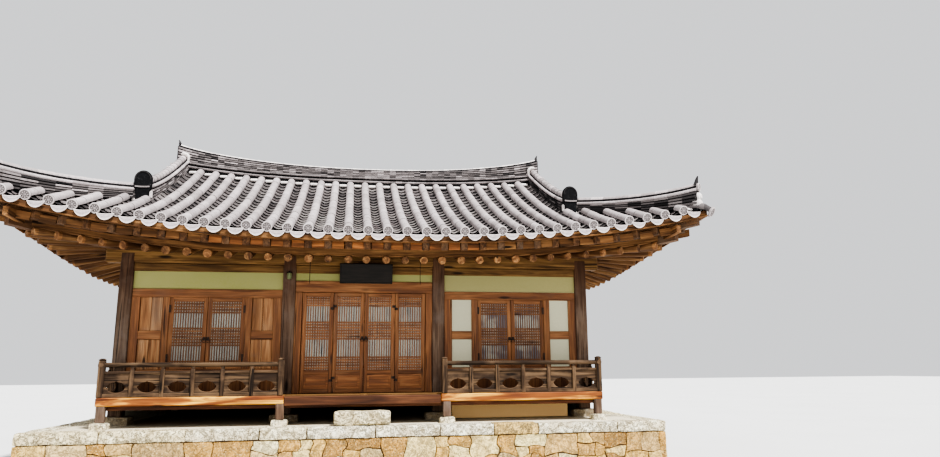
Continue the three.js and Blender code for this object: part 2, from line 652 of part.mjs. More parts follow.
function mainRidge() {
  const ridge = ridgeSolid(12, RIDGE_WIDTH, (u) => {
    const x = mix(-RIDGE_END_X, RIDGE_END_X, u);
    const level = roofTop(Math.abs(x), 0);
    const height = RIDGE_HEIGHT + RIDGE_END_GAIN * (x / RIDGE_END_X) ** 2;
    return { x, y: 0, sideX: 0, sideY: 1, foot: level - RIDGE_SEAT, top: level + height };
  });
  return cut(ridge, belowBoth);
}

// The upright tile with a round head that closes the falling ridge
function endTile() {
  const back = FOOT_Y + FALL_RIDGE_PAST;
  const half = END_TILE.width / 2;
  const outline = new THREE.Shape();
  outline.moveTo(-half, -END_TILE.sink).lineTo(half, -END_TILE.sink);
  outline.absarc(0, END_TILE.height - half, half, 0, Math.PI);
  const depth = END_TILE.thick + LET_IN;
  const tile = new THREE.ExtrudeGeometry(outline, { depth, bevelEnabled: false, curveSegments: 8 });
  tile.rotateX(Math.PI / 2).translate(FALL_RIDGE_X, -back + LET_IN, roofTop(FALL_RIDGE_X, back));
  return solidOf(tile);
}

// The ridge that falls along the gable edge at a front corner, its end tile, and the hip ridge beyond
function cornerRidge(hand) {
  const fall = ridgeSolid(8, FALL_RIDGE_WIDTH, (u) => {
    const y = mix(-FOOT_Y - FALL_RIDGE_PAST, -RIDGE_WIDTH / 2 - EASE, u);
    const level = roofTop(FALL_RIDGE_X, -y);
    const z = { foot: level - RIDGE_SEAT, top: level + FALL_RIDGE_HEIGHT };
    return { x: FALL_RIDGE_X, y, sideX: -1, sideY: 0, ...z };
  });
  const hip = ridgeSolid(8, HIP_RIDGE_WIDTH, (u) => {
    const out = mix(-HIP_RIDGE_TAIL, HIP_RIDGE_REACH, u);
    const level = roofTop(COLUMN_X + out, COLUMN_Y + out);
    const height = mix(...HIP_RIDGE_HEIGHT, Math.max(0, out) / HIP_RIDGE_REACH);
    return {
      x: COLUMN_X + out,
      y: -COLUMN_Y - out,
      sideX: Math.SQRT1_2,
      sideY: Math.SQRT1_2,
      foot: level - RIDGE_SEAT,
      top: level + height,
    };
  });
  const whole = join([fall, hip, endTile()]);
  const below = [...belowBoth, belowRight, turned(belowRight)];
  return cut(hand > 0 ? whole : whole.mirror([1, 0, 0]), below);
}

// Gable wall and bargeboards on the right
function gableWall() {
  const foot = roofTop(0, acrossSide(GABLE_X)) - RIDGE_SEAT;
  const outline = new THREE.Shape([
    new THREE.Vector2(-GABLE_HALF, foot),
    new THREE.Vector2(GABLE_HALF, foot),
    new THREE.Vector2(GABLE_HALF, foot + GABLE_SHOULDER),
    new THREE.Vector2(0, roofTop(GABLE_X, 0)),
    new THREE.Vector2(-GABLE_HALF, foot + GABLE_SHOULDER),
  ]);
  const wall = new THREE.ExtrudeGeometry(outline, { depth: GABLE_THICK, bevelEnabled: false });
  wall.rotateX(Math.PI / 2).rotateZ(Math.PI / 2).translate(GABLE_X - GABLE_THICK / 2, 0, 0);
  return cut(solidOf(wall), [...aboveBoth, belowRight]);
}

function bargeboards() {
  const boards = shaped(1, SIDE_CELLS, 1, (u, v, w) => {
    const y = mix(-FOOT_Y, FOOT_Y, v);
    const level = roofUnder(BARGE_X, Math.abs(y));
    const z = w > 0.5 ? level + BARGEBOARD.tuck : level - BARGEBOARD.depth;
    return [BARGE_X - BARGEBOARD.thick * (1 - u), y, z];
  });
  return cut(boards, [...aboveBoth, belowRight]);
}

// Rafters of a side under one skin of boards: main rafters from the purlin out, flying rafters beyond.
// Drawn once for a side: `at` runs along it from its middle, `across` outwards from the ridge line.
const sides = {
  front: { columnAt: COLUMN_X, along: (at) => at, place: (at, across, z) => [at, -across, z], last: 16 },
  right: {
    columnAt: COLUMN_Y,
    along: alongSide,
    place: (at, across, z) => [across + BARGE_X - FOOT_Y, at, z],
    last: 12,
  },
};
const eaveLine = (side, at, end) => end + overhang(side.along(at)) - OVERHANG;

// Share of its place on the eave that a rafter ending at `at` has at `across`: near a corner they fan out.
function fanShare(side, at, across) {
  const heart = COLUMN_Y - FAN_HEART;
  return at > side.columnAt - FAN_HEART ? (across - heart) / (eaveLine(side, at, RAFTER_END_OUT) - heart) : 1;
}

// Plan lines of a rafter's two edges
function rafterEdges(side, at) {
  const hinge = side.columnAt - FAN_HEART;
  return [-1, 1].map((edge) => (across) => {
    const share = fanShare(side, at, across);
    const centre = share === 1 ? at : hinge + (at - hinge) * share;
    return centre + edge * Math.min(RAFTER_WIDTH / 2, RAFTER_STEP * share * FAN_SHARE);
  });
}

// All the points of the section along one plan line, `hand` telling the side's left or right half
function rafterSection(side, hand, line, ends) {
  const [mainEnd, flyingEnd] = ends;
  const point = (across, level) => side.place(hand * line(across), across, level);
  const flyingTop = (across) => roofUnder(side.along(line(across)), across) - FLYING.below;
  const endLevel = RAFTER_END_LEVEL + RAFTER_LIFT * rise(side.along(line(mainEnd)));
  const inner = COLUMN_Y - PURLIN_WIDTH / 2;
  const outer = COLUMN_Y + PURLIN_WIDTH / 2;
  return {
    seatInner: point(inner, RAFTER_SEAT),
    seatOuter: point(outer, RAFTER_SEAT),
    boardSeat: point(outer, RAFTER_SEAT + RAFTER_DEPTH),
    mainUnder: point(mainEnd, endLevel),
    boardEnd: point(mainEnd, endLevel + RAFTER_DEPTH),
    flyingRoot: point(mainEnd, flyingTop(mainEnd) - FLYING.depth),
    flyingBoardRoot: point(mainEnd, flyingTop(mainEnd) - FLYING.board),
    flyingUnder: point(flyingEnd, flyingTop(flyingEnd) - FLYING.depth),
    flyingBoardEnd: point(flyingEnd, flyingTop(flyingEnd) - FLYING.board),
    topEnd: point(flyingEnd, flyingTop(flyingEnd)),
    topMiddle: point(mainEnd, flyingTop(mainEnd)),
    topInner: point(inner, roofUnder(side.along(line(inner)), inner) - SEAT_BELOW),
  };
}

// Outline of the section through a rafter, and through the boards between two rafters
const topOutline = ["topEnd", "topMiddle", "topInner"];
const rafterOutline = [
  ...["seatInner", "seatOuter", "mainUnder", "boardEnd", "flyingRoot", "flyingUnder", "flyingBoardEnd"],
  ...topOutline,
];
const boardOutline = [
  ...["seatInner", "seatOuter", "boardSeat", "boardEnd", "flyingRoot", "flyingBoardRoot", "flyingBoardEnd"],
  ...topOutline,
];
const rafterCheeks = [
  ["seatOuter", "mainUnder", "boardEnd", "boardSeat"],
  ["flyingRoot", "flyingUnder", "flyingBoardEnd", "flyingBoardRoot"],
];
const endCap = [
  ["topInner", "seatInner", "seatOuter", "boardSeat"],
  ["topInner", "boardSeat", "boardEnd", "flyingRoot"],
  ["topInner", "flyingRoot", "flyingBoardRoot", "topMiddle"],
  ["topMiddle", "flyingBoardRoot", "flyingBoardEnd", "topEnd"],
];

// The last line of a side, `margin` inside the hip's diagonal
function hipLine(side, margin) {
  const shift = side.columnAt - COLUMN_Y - margin;
  const ends = [RAFTER_END_OUT, FLYING_END_OUT].map((end) => {
    let at = side.columnAt; // settles where the diagonal meets the curved eave
    for (let i = 0; i < SETTLE_ROUNDS; i++) at = eaveLine(side, at, end) + shift;
    return Math.min(at - shift, COLUMN_Y + HIP_RAFTER.reach - LET_IN);
  });
  return { line: (across) => across + shift, ends };
}

function rafterSet(side, margin) {
  const half = []; // sections from the middle rafter's right edge to the hip
  for (let i = 0; i <= side.last; i++) {
    const at = i * RAFTER_STEP;
    const ends = [RAFTER_END_OUT, FLYING_END_OUT].map((end) => eaveLine(side, at, end));
    rafterEdges(side, at).forEach((line) => half.push({ line, ends }));
  }
  const hip = hipLine(side, margin);
  half.push(hip);
  const own = half.slice(1).map(({ line, ends }, i, all) => {
    const clear = HIP_STEP * (all.length - 1 - i);
    return { line: (across) => Math.min(line(across), hip.line(across) - clear), ends };
  });
  const sections = [
    ...own.toReversed().map(({ line, ends }) => rafterSection(side, -1, line, ends)),
    ...own.map(({ line, ends }) => rafterSection(side, 1, line, ends)),
  ];
  const corners = [];
  const quad = (a, b, c, d) => corners.push(...[c, b, a, d, c, a].flat());
  sections.slice(1).forEach((next, i) => {
    const here = sections[i];
    const outline = i % 2 === 1 ? rafterOutline : boardOutline;
    outline.forEach((name, j) => {
      const after = outline[(j + 1) % outline.length];
      quad(here[name], here[after], next[after], next[name]);
    });
  });
  sections.slice(1, -1).forEach((section, i) => {
    for (const cheek of rafterCheeks) {
      const [a, b, c, d] = cheek.map((name) => section[name]);
      if (i % 2 === 1) quad(a, b, c, d);
      else quad(d, c, b, a);
    }
  });
  for (const face of endCap) {
    const [a, b, c, d] = face.map((name) => sections[0][name]);
    quad(d, c, b, a);
    quad(...face.map((name) => sections.at(-1)[name]));
  }
  const geometry = new THREE.BufferGeometry();
  const rounded = corners.map((value) => Math.round(value * 100) / 100);
  geometry.setAttribute("position", new THREE.BufferAttribute(new Float32Array(rounded), 3));
  return solidOf(geometry);
}

// Hip rafter at a front corner, on the diagonal through the corner column
function hipRafter(hand) {
  return shaped(6, 1, 1, (u, v, w) => {
    const out = mix(-HIP_RAFTER.tail, HIP_RAFTER.reach, hand > 0 ? u : 1 - u);
    const shift = (v - 0.5) * HIP_RAFTER.width * Math.SQRT1_2;
    const roofOut = Math.max(out, FOOT_Y - COLUMN_Y);
    const under = roofUnder(COLUMN_X + roofOut, COLUMN_Y + roofOut);
    return [
      hand * (COLUMN_X + out + shift),
      -COLUMN_Y - out + shift,
      w > 0.5 ? under + HIP_RAFTER.tuck : under - HIP_RAFTER.height,
    ];
  });
}

const purlinCuts = [
  block(
    around(0, 2 * (COLUMN_X + PURLIN_REACH + PAST)),
    grown(around(-COLUMN_Y, PURLIN_WIDTH)),
    [TIE_TOP, PURLIN_TOP + EASE],
  ),
  ...[-COLUMN_X, COLUMN_X].map((x) =>
    block(grown(around(x, PURLIN_WIDTH)), [-COLUMN_Y, COLUMN_Y], [TIE_TOP, PURLIN_TOP + EASE]),
  ),
];
purlinCuts.push(turned(purlinCuts[0]));

const underRoof = (rafters) => cut(rafters, [...aboveBoth, aboveRight, turned(aboveRight), ...purlinCuts]);

// Name board, leaning out over the doors on two pegs
function nameBoard() {
  const { x, z, depth, lean, back } = NAME_BOARD;
  const face = -COLUMN_Y - back;
  const board = shaped(1, 1, 1, (u, v, w) => [
    mix(...x, u),
    face - w * lean - (1 - v) * depth,
    mix(...z, w),
  ]);
  const tieFace = -COLUMN_Y - TIE_WIDTH / 2 - EASE;
  const pegs = [-1, 1].map((hand) =>
    block(
      around(mix(...x, 0.5) + hand * NAME_PEG.apart, NAME_PEG.width),
      [face - NAME_PEG.reach, tieFace],
      NAME_PEG.above.map((level) => TIE_BOTTOM + level),
    ),
  );
  return join([board, ...pegs]);
}

house.name = "house";
add("stone_platform", platform(), granite);
const stepZ = [PLATFORM_TOP, PLATFORM_TOP + STEP_STONE.height];
add("stepping_stone", block(STEP_STONE.x, STEP_STONE.y, stepZ), granite);

frontColumns.forEach((x, i) => add("front_column_" + (i + 1), column(x, COLUMN_Y), greyTimber));
add("front_beam", headBeam(frontColumns, [], COLUMN_Y, COLUMN_X + PURLIN_REACH), greyTimber);

const BAY_CENTRE = (COLUMN_X + INNER_COLUMN_X) / 2;
const windowZ = [WINDOW_SILL_TOP, SIDE_LINTEL[0]];
for (const hand of [-1, 1]) {
  const word = hand < 0 ? "left" : "right";
  const centre = hand * BAY_CENTRE;
  add("front_" + word + "_frame", sideBayFrame(centre, hand < 0), redTimber);
  const leaves = windowLeaves(WINDOW_HALF, windowZ);
  const windowFace = -COLUMN_Y - FRAME_FACE + WINDOW_INSET;
  add("front_" + word + "_window", leaves, redTimber).position.set(centre, windowFace, 0);
}
const leftBay = clearBetween(-COLUMN_X, -INNER_COLUMN_X);
const middleBay = clearBetween(-INNER_COLUMN_X, INNER_COLUMN_X);
add("front_left_plaster", strip(leftBay, SIDE_LINTEL[1]), plaster);
add("front_middle_plaster", strip(middleBay, DOOR_LINTEL[1]), plaster);
add("front_right_plaster", rightBayPlaster(BAY_CENTRE), plaster);
add("front_middle_frame", middleBayFrame(), redTimber);
doorLeaves();

const sideColumns = [-COLUMN_Y, 0, COLUMN_Y];
const sideWindowX = -(COLUMN_Y / 2);
const sideEnd = COLUMN_Y - COLUMN / 2 - EASE;
plainWall("right", sideColumns, [0], sideEnd, sideWindowX, SMALL_WINDOW_HALF);
plainWall("left", sideColumns, [0], sideEnd, -sideWindowX, SMALL_WINDOW_HALF);
plainWall("back", frontColumns, frontColumns, COLUMN_X + PURLIN_REACH, 0, WINDOW_HALF);

add("inner_floor", innerFloor(), paleTimber);
add("low_wall", lowWall(), tanPlaster);
add("porch_frame", porchFrame(), paleTimber);
add("porch_floor", porchFloor(), paleTimber);
add("left_railing", railing(-1), greyTimber);
add("right_railing", railing(1), greyTimber);
add("name_board", nameBoard(), darkBoard);

add("front_roof", front, tile);
add("back_roof", front, tile).rotation.z = Math.PI;
add("right_roof", right, tile);
add("left_roof", right, tile).rotation.z = Math.PI;
add("main_ridge", mainRidge(), tile);
const cornerRidges = [-1, 1].map(cornerRidge);
add("front_left_ridge", cornerRidges[0], tile);
add("front_right_ridge", cornerRidges[1], tile);
add("back_right_ridge", cornerRidges[0], tile).rotation.z = Math.PI;
add("back_left_ridge", cornerRidges[1], tile).rotation.z = Math.PI;

const gable = gableWall();
const boards = bargeboards();
add("right_gable", gable, plaster);
add("left_gable", gable, plaster).rotation.z = Math.PI;
add("right_bargeboards", boards, redTimber);
add("left_bargeboards", boards, redTimber).rotation.z = Math.PI;

const hipRafters = [-1, 1].map(hipRafter);
const frontRafters = underRoof(join([rafterSet(sides.front, 0), ...hipRafters]));
const rightRafters = underRoof(rafterSet(sides.right, (HIP_RAFTER.width / 2 + EASE) * Math.SQRT2));
add("front_rafters", frontRafters, paleTimber);
add("back_rafters", frontRafters, paleTimber).rotation.z = Math.PI;
add("right_rafters", rightRafters, paleTimber);
add("left_rafters", rightRafters, paleTimber).rotation.z = Math.PI;

export default house;
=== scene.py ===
# The looks of a one-storey timber house with a tiled hip-and-gable roof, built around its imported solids.
# Metres, +Z up, +X to the right along the front, +Y to the back; the ground is at z = 0.
import math
import random

import bpy
import numpy as np
from mathutils import Matrix, Vector, noise


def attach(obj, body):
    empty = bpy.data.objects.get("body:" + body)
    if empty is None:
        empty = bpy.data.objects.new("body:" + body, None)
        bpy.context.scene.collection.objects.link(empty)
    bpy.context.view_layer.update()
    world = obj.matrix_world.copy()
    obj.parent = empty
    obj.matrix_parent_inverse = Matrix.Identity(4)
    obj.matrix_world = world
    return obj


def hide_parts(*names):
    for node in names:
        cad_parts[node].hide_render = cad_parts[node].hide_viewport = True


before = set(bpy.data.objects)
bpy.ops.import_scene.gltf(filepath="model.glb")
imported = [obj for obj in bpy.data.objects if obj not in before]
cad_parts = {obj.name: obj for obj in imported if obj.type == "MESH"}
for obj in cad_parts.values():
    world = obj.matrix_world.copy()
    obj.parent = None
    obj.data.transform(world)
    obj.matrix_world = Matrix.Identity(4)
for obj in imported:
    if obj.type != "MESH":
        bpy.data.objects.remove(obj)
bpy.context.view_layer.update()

rng = random.Random(11)
X_WAY, Y_WAY, UP = np.eye(3)
HOUSE = "house"
HAND = {-1: "left", 1: "right"}
SHARP_FROM = math.radians(35)

# Plan and levels of the walls
COLUMN_X = 3.875  # outer column axis
INNER_X = 1.275  # inner column axis
COLUMNS = (-COLUMN_X, -INNER_X, INNER_X, COLUMN_X)
COLUMN_Y = 2.65
COLUMN = 0.21
PLATFORM_TOP = 0.75
PAD_TOP = 0.87
SILL_BOTTOM = 1.01
FLOOR_TOP = 1.19
WINDOW_FOOT = 1.6
WINDOW_HEAD = 2.77
LINTEL_TOP = 2.91
DOOR_HEAD = 2.874
DOOR_LINTEL_TOP = 3.07
TIE_BOTTOM = 3.2
TIE_TOP = 3.335
COLUMN_TOP = 3.5
PURLIN_TOP = 3.61
FACE = 0.075  # the wall timbers' outer face, out from the column axis
FRONT = -COLUMN_Y - FACE  # that face on the front
GAP = 0.0003  # clearance between pieces that touch
WALL_RAIL = (2.08, 2.22)
WALL_RAIL_DEEP = 0.07  # the timbers of a wall that is plastered
FRAME_DEEP = 0.12  # the timbers that show their full depth
SILL_THICK = 0.06
FOOT_RAIL = 0.05  # height of the rail on the floor
FLOOR_THICK = 0.04
PORCH_Y = 3.55
PORCH_X = 3.92
COPING_FOOT = 0.575


# Spans and points

def point(*values):
    return np.array(values, float)


def about(middle, half):
    """A span about its middle."""
    return middle - half, middle + half


def handed(hand, near, far, middle=0.0):
    """A span on the left (-1) or right (1) of a middle, low end first."""
    return sorted((middle + hand * near, middle + hand * far))


def ends(span, size):
    """The stretch of a given size at each end of a span."""
    return (span[0], span[0] + size), (span[1] - size, span[1])


# Mesh gathering

class Piece:
    """Faces of one piece, with a tone for each face and a place in the wood or stone for each point."""

    def __init__(self, turn=0.0):
        self.points, self.faces, self.tones, self.grain = [], [], [], []
        self.count = 0
        self.turn = turn

    def add(self, points, faces, tone=0.5, grain=None):
        points = np.asarray(points, float).reshape(-1, 3)
        grain = points if grain is None else np.asarray(grain, float).reshape(-1, 3)
        self.grain.append(grain + [rng.uniform(-40, 40) for _ in range(3)])
        c, s = math.cos(self.turn), math.sin(self.turn)
        self.points.append(points @ np.array([[c, s, 0], [-s, c, 0], [0, 0, 1]]) if self.turn else points)
        before = len(self.faces)
        for group in faces:
            self.faces.extend((group + self.count).tolist())
        self.tones.extend(np.broadcast_to(np.asarray(tone, float), len(self.faces) - before).tolist())
        self.count += len(points)

    def build(self, name, finish, *replaced, body=HOUSE):
        mesh = bpy.data.meshes.new(name)
        mesh.from_pydata(np.concatenate(self.points).tolist(), [], self.faces)
        mesh.attributes.new("tone", "FLOAT", "FACE").data.foreach_set("value", self.tones)
        grain = np.concatenate(self.grain).astype(np.float32)
        mesh.attributes.new("grain", "FLOAT_VECTOR", "POINT").data.foreach_set("vector", grain.ravel())
        mesh.polygons.foreach_set("use_smooth", [True] * len(mesh.polygons))
        mesh.set_sharp_from_angle(angle=SHARP_FROM)
        mesh.materials.append(finish.material)
        mesh.update()
        made = bpy.data.objects.new(name, mesh)
        bpy.context.scene.collection.objects.link(made)
        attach(made, body)
        if replaced:
            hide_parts(*replaced)


def grid_faces(rows, columns, closed=False):
    """Quads of a grid of points; closed joins the last point of each row to its first."""
    strips = columns if closed else columns - 1
    row, column = np.meshgrid(np.arange(rows - 1), np.arange(strips), indexing="ij")
    start, after = row * columns, (column + 1) % columns
    quads = [start + column, start + after, start + columns + after, start + columns + column]
    return np.stack(quads, -1).reshape(-1, 4)


def sweep(piece, path, section, side, up, tone=0.5, closed=True, caps=True):
    """Carries one section, or one for each station, along a path. An open section shows its outer side."""
    path, section = np.asarray(path, float), np.asarray(section, float)
    stations, across = len(path), section.shape[-2]
    section = np.broadcast_to(section, (stations, across, 2))
    side, up = (np.broadcast_to(way, (stations, 3)) for way in (side, up))
    points = path[:, None] + section[:, :, :1] * side[:, None] + section[:, :, 1:] * up[:, None]
    groups = [grid_faces(stations, across, closed)]
    tones = np.repeat(np.broadcast_to(tone, stations - 1), len(groups[0]) // (stations - 1))
    if caps:
        groups.append(np.array([np.arange(across)[::-1], np.arange(across) + (stations - 1) * across]))
        tones = np.append(tones, [tones[0], tones[-1]])
    if np.dot(np.cross(side[0], up[0]), path[-1] - path[0]) < 0:
        groups = [group[:, ::-1] for group in groups]
    run = np.append(0, np.cumsum(np.linalg.norm(np.diff(path, axis=0), axis=1)))
    grain = np.concatenate([np.broadcast_to(run[:, None, None], (stations, across, 1)), section], -1)
    piece.add(points, groups, tones, grain)


def circle(radius, points=12, start=0.0, end=360.0):
    """A round section or an arc of one, or one for each radius of a list."""
    angle = np.radians(np.linspace(start, end, points, endpoint=end - start < 360))
    return np.asarray(radius, float)[..., None, None] * np.stack([np.cos(angle), np.sin(angle)], -1)


def rectangle(left, right, bottom, top):
    """A four-cornered section, or one for each station where a side is a list."""
    left, right, bottom, top = np.broadcast_arrays(left, right, bottom, top)
    return np.stack([left, bottom, right, bottom, right, top, left, top], -1).reshape(*left.shape, 4, 2)


BOX_CORNERS = np.array([(x, y, z) for x in (0, 1) for y in (0, 1) for z in (0, 1)], float)


def chamfer_faces():
    """Faces of a box whose edges are cut: point 3 * corner + axis lies on that axis' face."""
    quads, triangles = [], []
    for axis in range(3):
        b, c = (axis + 1) % 3, (axis + 2) % 3
        for sign in (0, 1):
            corner = lambda sb, sc: 3 * (sign * (4 >> axis) + sb * (4 >> b) + sc * (4 >> c))
            loop = [corner(sb, sc) + axis for sb, sc in ((0, 0), (1, 0), (1, 1), (0, 1))]
            quads.append(loop if sign else loop[::-1])
            for other in (0, 1):
                low, high = corner(other, 0), corner(other, 1)
                loop = [low + axis, high + axis, high + b, low + b]
                quads.append(loop if sign == other else loop[::-1])
    for number, corner in enumerate(BOX_CORNERS):
        loop = [3 * number, 3 * number + 1, 3 * number + 2]
        triangles.append(loop if corner.sum() % 2 else loop[::-1])
    return [np.array(quads), np.array(triangles)]


BOX_FACES = chamfer_faces()
GRAIN_ORDER = {"x": [0, 1, 2], "y": [1, 0, 2], "z": [2, 0, 1]}


def timber(piece, x, y, z, along="x", edge=0.004, tone=None, basis=None, origin=(0, 0, 0)):
    """A box with cut edges whose grain runs along one axis; basis rows turn its own axes in space."""
    low, high = np.sort([x, y, z]).T
    points = np.repeat(low + BOX_CORNERS * (high - low), 3, axis=0)
    inward = np.repeat(min(edge, *((high - low) / 3)) * (1 - 2 * BOX_CORNERS), 3, axis=0)
    inward[np.arange(24), np.tile([0, 1, 2], 8)] = 0
    points = points + inward
    grain = (points - (low + high) / 2)[:, GRAIN_ORDER[along]]
    if basis is not None:
        points = points @ np.asarray(basis, float) + np.asarray(origin, float)
    piece.add(points, BOX_FACES, rng.uniform(0.35, 0.65) if tone is None else tone, grain)


def beam_between(piece, start, end, width, height, tone=None, edge=0.004, up=UP):
    """A timber from one point to another, both on the middle of its section."""
    start, end = point(*start), point(*end)
    length = np.linalg.norm(end - start)
    ahead = (end - start) / length
    side = np.cross(up, ahead)
    side /= np.linalg.norm(side)
    basis = [ahead, side, np.cross(ahead, side)]
    timber(piece, (0, length), about(0, width / 2), about(0, height / 2), "x", edge, tone, basis, start)


def plate(piece, outline, origin, side, up, thick, tone=0.5, edge=0.0):
    """A flat plate with a given outline, its front on the origin's plane and its back `thick` behind it."""
    outline = np.asarray(outline, float)
    middle = outline.mean(0)
    path = [origin + np.cross(side, up) * depth for depth in (0.0, -edge * 0.4, -thick)]
    sweep(piece, path, [middle + (outline - middle) * (1 - edge), outline, outline], side, up, tone)


def stone(piece, x, y, z, tone, cells=4, round_by=0.02, bump=0.006, bend=None):
    """A dressed stone: a box with rounded edges and an uneven face."""
    low, high = np.array([x, y, z], float).T
    u, v = np.meshgrid(*[np.linspace(0, 1, cells + 1)] * 2, indexing="ij")
    quads = grid_faces(cells + 1, cells + 1)
    points, faces = [], []
    for axis in range(3):
        for sign in (0, 1):
            sheet = np.full((*u.shape, 3), float(sign))
            sheet[..., (axis + 1) % 3], sheet[..., (axis + 2) % 3] = u, v
            faces.append((quads if not sign else quads[:, ::-1]) + len(points) * (cells + 1) ** 2)
            points.append(sheet.reshape(-1, 3))
    points = low + np.concatenate(points) * (high - low)
    inside = np.clip(points, low + round_by, high - round_by)
    away = points - inside
    length = np.linalg.norm(away, axis=1, keepdims=True)
    points = inside + away / np.maximum(length, 1e-9) * np.minimum(length, round_by)
    seed = rng.uniform(0, 90)
    for spot in points:
        at = Vector(spot) / 0.11
        spot += [bump * noise.noise(at + Vector((seed + 17 * k, 3.1 * k, 0))) for k in range(3)]
    if bend:
        bend_joints(points, *bend)
    piece.add(points, [np.concatenate(faces)], tone, points)


def bend_joints(points, x_end, z_end, amount):
    """Moves points of a wall face in its plane by one field, so that the joints of the stones run crooked."""
    for spot in points:
        x, _, z = spot
        inside = max(0.0, min(1.0, (x_end - abs(x)) / 0.15) * max(0.0, min(z, z_end - z, 0.1)) / 0.1)
        at = Vector((x * 3.3, 0.0, z * 4.6))
        spot[0] += amount * inside * noise.noise(at)
        spot[2] += amount * inside * noise.noise(at + Vector((31.0, 7.0, 0.0)))


# Finishes: each is made of nodes, and reads the grain place and the tone that its piece carries

class Finish:
    """A material under construction, and the slot that it fills."""

    def __init__(self, name, slot, roughness, metallic=0.0, sheen=0.28):
        self.slot = slot
        self.material = bpy.data.materials.new(name)
        self.material.use_nodes = True
        self.tree = self.material.node_tree
        self.shader = self.tree.nodes["Principled BSDF"]
        self.set_inputs(self.shader, {"Roughness": roughness, "Metallic": metallic,
                                      "Specular IOR Level": sheen})

    def set_inputs(self, node, inputs):
        for key, value in inputs.items():
            if isinstance(value, bpy.types.NodeSocket):
                self.tree.links.new(value, node.inputs[key])
            else:
                node.inputs[key].default_value = value

    def node(self, kind, inputs=None, **settings):
        made = self.tree.nodes.new(kind)
        for key, value in settings.items():
            setattr(made, key, value)
        self.set_inputs(made, inputs or {})
        return made

    def attribute(self, name, socket):
        return self.node("ShaderNodeAttribute", attribute_name=name).outputs[socket]

    def space(self):
        return self.node("ShaderNodeTexCoord").outputs["Object"]

    def place(self, scale, source="grain"):
        """A scaled place in the wood or stone, or in space where the source is the object."""
        at = self.attribute("grain", "Vector") if source == "grain" else self.space()
        scale = scale if isinstance(scale, tuple) else (scale,) * 3
        return self.node("ShaderNodeMapping", {"Vector": at, "Scale": scale}).outputs["Vector"]

    def noise(self, scale, detail=4.0, rough_share=0.55, distortion=0.0, source="grain"):
        inputs = {"Vector": self.place(scale, source), "Scale": 1.0, "Detail": detail,
                  "Roughness": rough_share, "Distortion": distortion}
        return self.node("ShaderNodeTexNoise", inputs).outputs["Fac"]

    def ramp(self, value, stops):
        made = self.node("ShaderNodeValToRGB", {"Fac": value})
        elements = made.color_ramp.elements
        stops = sorted(stops, key=lambda stop: stop[0])
        elements[0].position, elements[-1].position = stops[0][0], stops[-1][0]
        for at, _ in stops[1:-1]:
            elements.new(at)
        for element, (_, colour) in zip(elements, stops):
            element.color = (*colour, 1)
        return made.outputs["Color"]

    def share(self, value, low, high, most=1.0):
        """0 at one value and `most` at the other."""
        shown = self.ramp(value, [(low, (0, 0, 0)), (high, (1, 1, 1))])
        return shown if most == 1 else self.maths("MULTIPLY", shown, most)

    def level(self, low, high):
        """0 below one height of the object and 1 above another."""
        height = self.node("ShaderNodeSeparateXYZ", {0: self.space()}).outputs["Z"]
        shown = self.node("ShaderNodeMapRange", {"Value": height, "From Min": low, "From Max": high})
        return shown.outputs["Result"]

    def maths(self, kind, a, b=0.0):
        return self.node("ShaderNodeMath", {0: a, 1: b}, operation=kind).outputs[0]

    def mix(self, share, a, b, kind="MIX"):
        a, b = (value if isinstance(value, bpy.types.NodeSocket) else (*value, 1) for value in (a, b))
        inputs = {"Factor": share, 6: a, 7: b}
        return self.node("ShaderNodeMix", inputs, data_type="RGBA", blend_type=kind).outputs[2]

    def finish(self, colour, height=None, depth=0.002, strength=0.6):
        self.set_inputs(self.shader, {"Base Color": colour})
        if height is not None:
            bump = self.node("ShaderNodeBump", {"Height": height, "Distance": depth, "Strength": strength})
            self.set_inputs(self.shader, {"Normal": bump.outputs["Normal"]})
        return self


def times(colour, factor):
    return tuple(factor * part for part in colour)


def wood(name, slot, dark, middle, light, roughness=0.7, worn=0.0, worn_colour=None, source="grain", run=0,
         cracked=0.33, head=None):
    """Timber: fibres and broad figure along the grain, knots, checks, weathering that turns it grey, and
    painted shade above a height.
    """
    f = Finish(name, slot, roughness)

    def along(lengthwise, crosswise):
        return tuple(lengthwise if axis == run else crosswise for axis in range(3))

    figure = f.noise(along(0.9, 9), 3.0, 0.5, 1.2, source)
    fibre = f.noise(along(1.6, 60), 5.0, 0.65, source=source)
    heart = f.ramp(figure, [(0.34, dark), (0.5, middle), (0.66, light)])
    colour = f.mix(f.share(fibre, 0.42, 0.66, 0.6), heart, times(dark, 0.45))
    tone = f.share(f.attribute("tone", "Fac"), 0.0, 1.0) if source == "grain" else 0.5
    colour = f.mix(0.75, colour, f.mix(tone, (0.3, 0.3, 0.3), (0.72, 0.7, 0.68)), "OVERLAY")
    cells = {"Vector": f.place(along(1.1, 5), source), "Scale": 1.0, "Randomness": 1.0}
    knots = f.node("ShaderNodeTexVoronoi", cells)
    colour = f.mix(f.share(knots.outputs["Distance"], 0.07, 0.15), times(dark, 0.25), colour)
    checks = f.share(f.noise(along(0.7, 34), 2.0, source=source), cracked - 0.03, cracked + 0.03)
    colour = f.mix(checks, times(dark, 0.3), colour)
    if worn:
        patches = f.noise(1.7, 5.0, 0.6, source=source)
        colour = f.mix(f.share(patches, 0.62 - 0.3 * worn, 0.75 - 0.25 * worn, worn), colour, worn_colour)
    # head: painted shade, a darker and browner colour above a given height
    if head:
        low, high, shade = head
        colour = f.mix(f.level(low, high), colour, f.mix(0.8, colour, shade, "MULTIPLY"))
    height = f.maths("ADD", f.maths("MULTIPLY", fibre, 0.5), f.maths("MULTIPLY", checks, 0.8))
    return f.finish(colour, height, 0.003, 0.7)


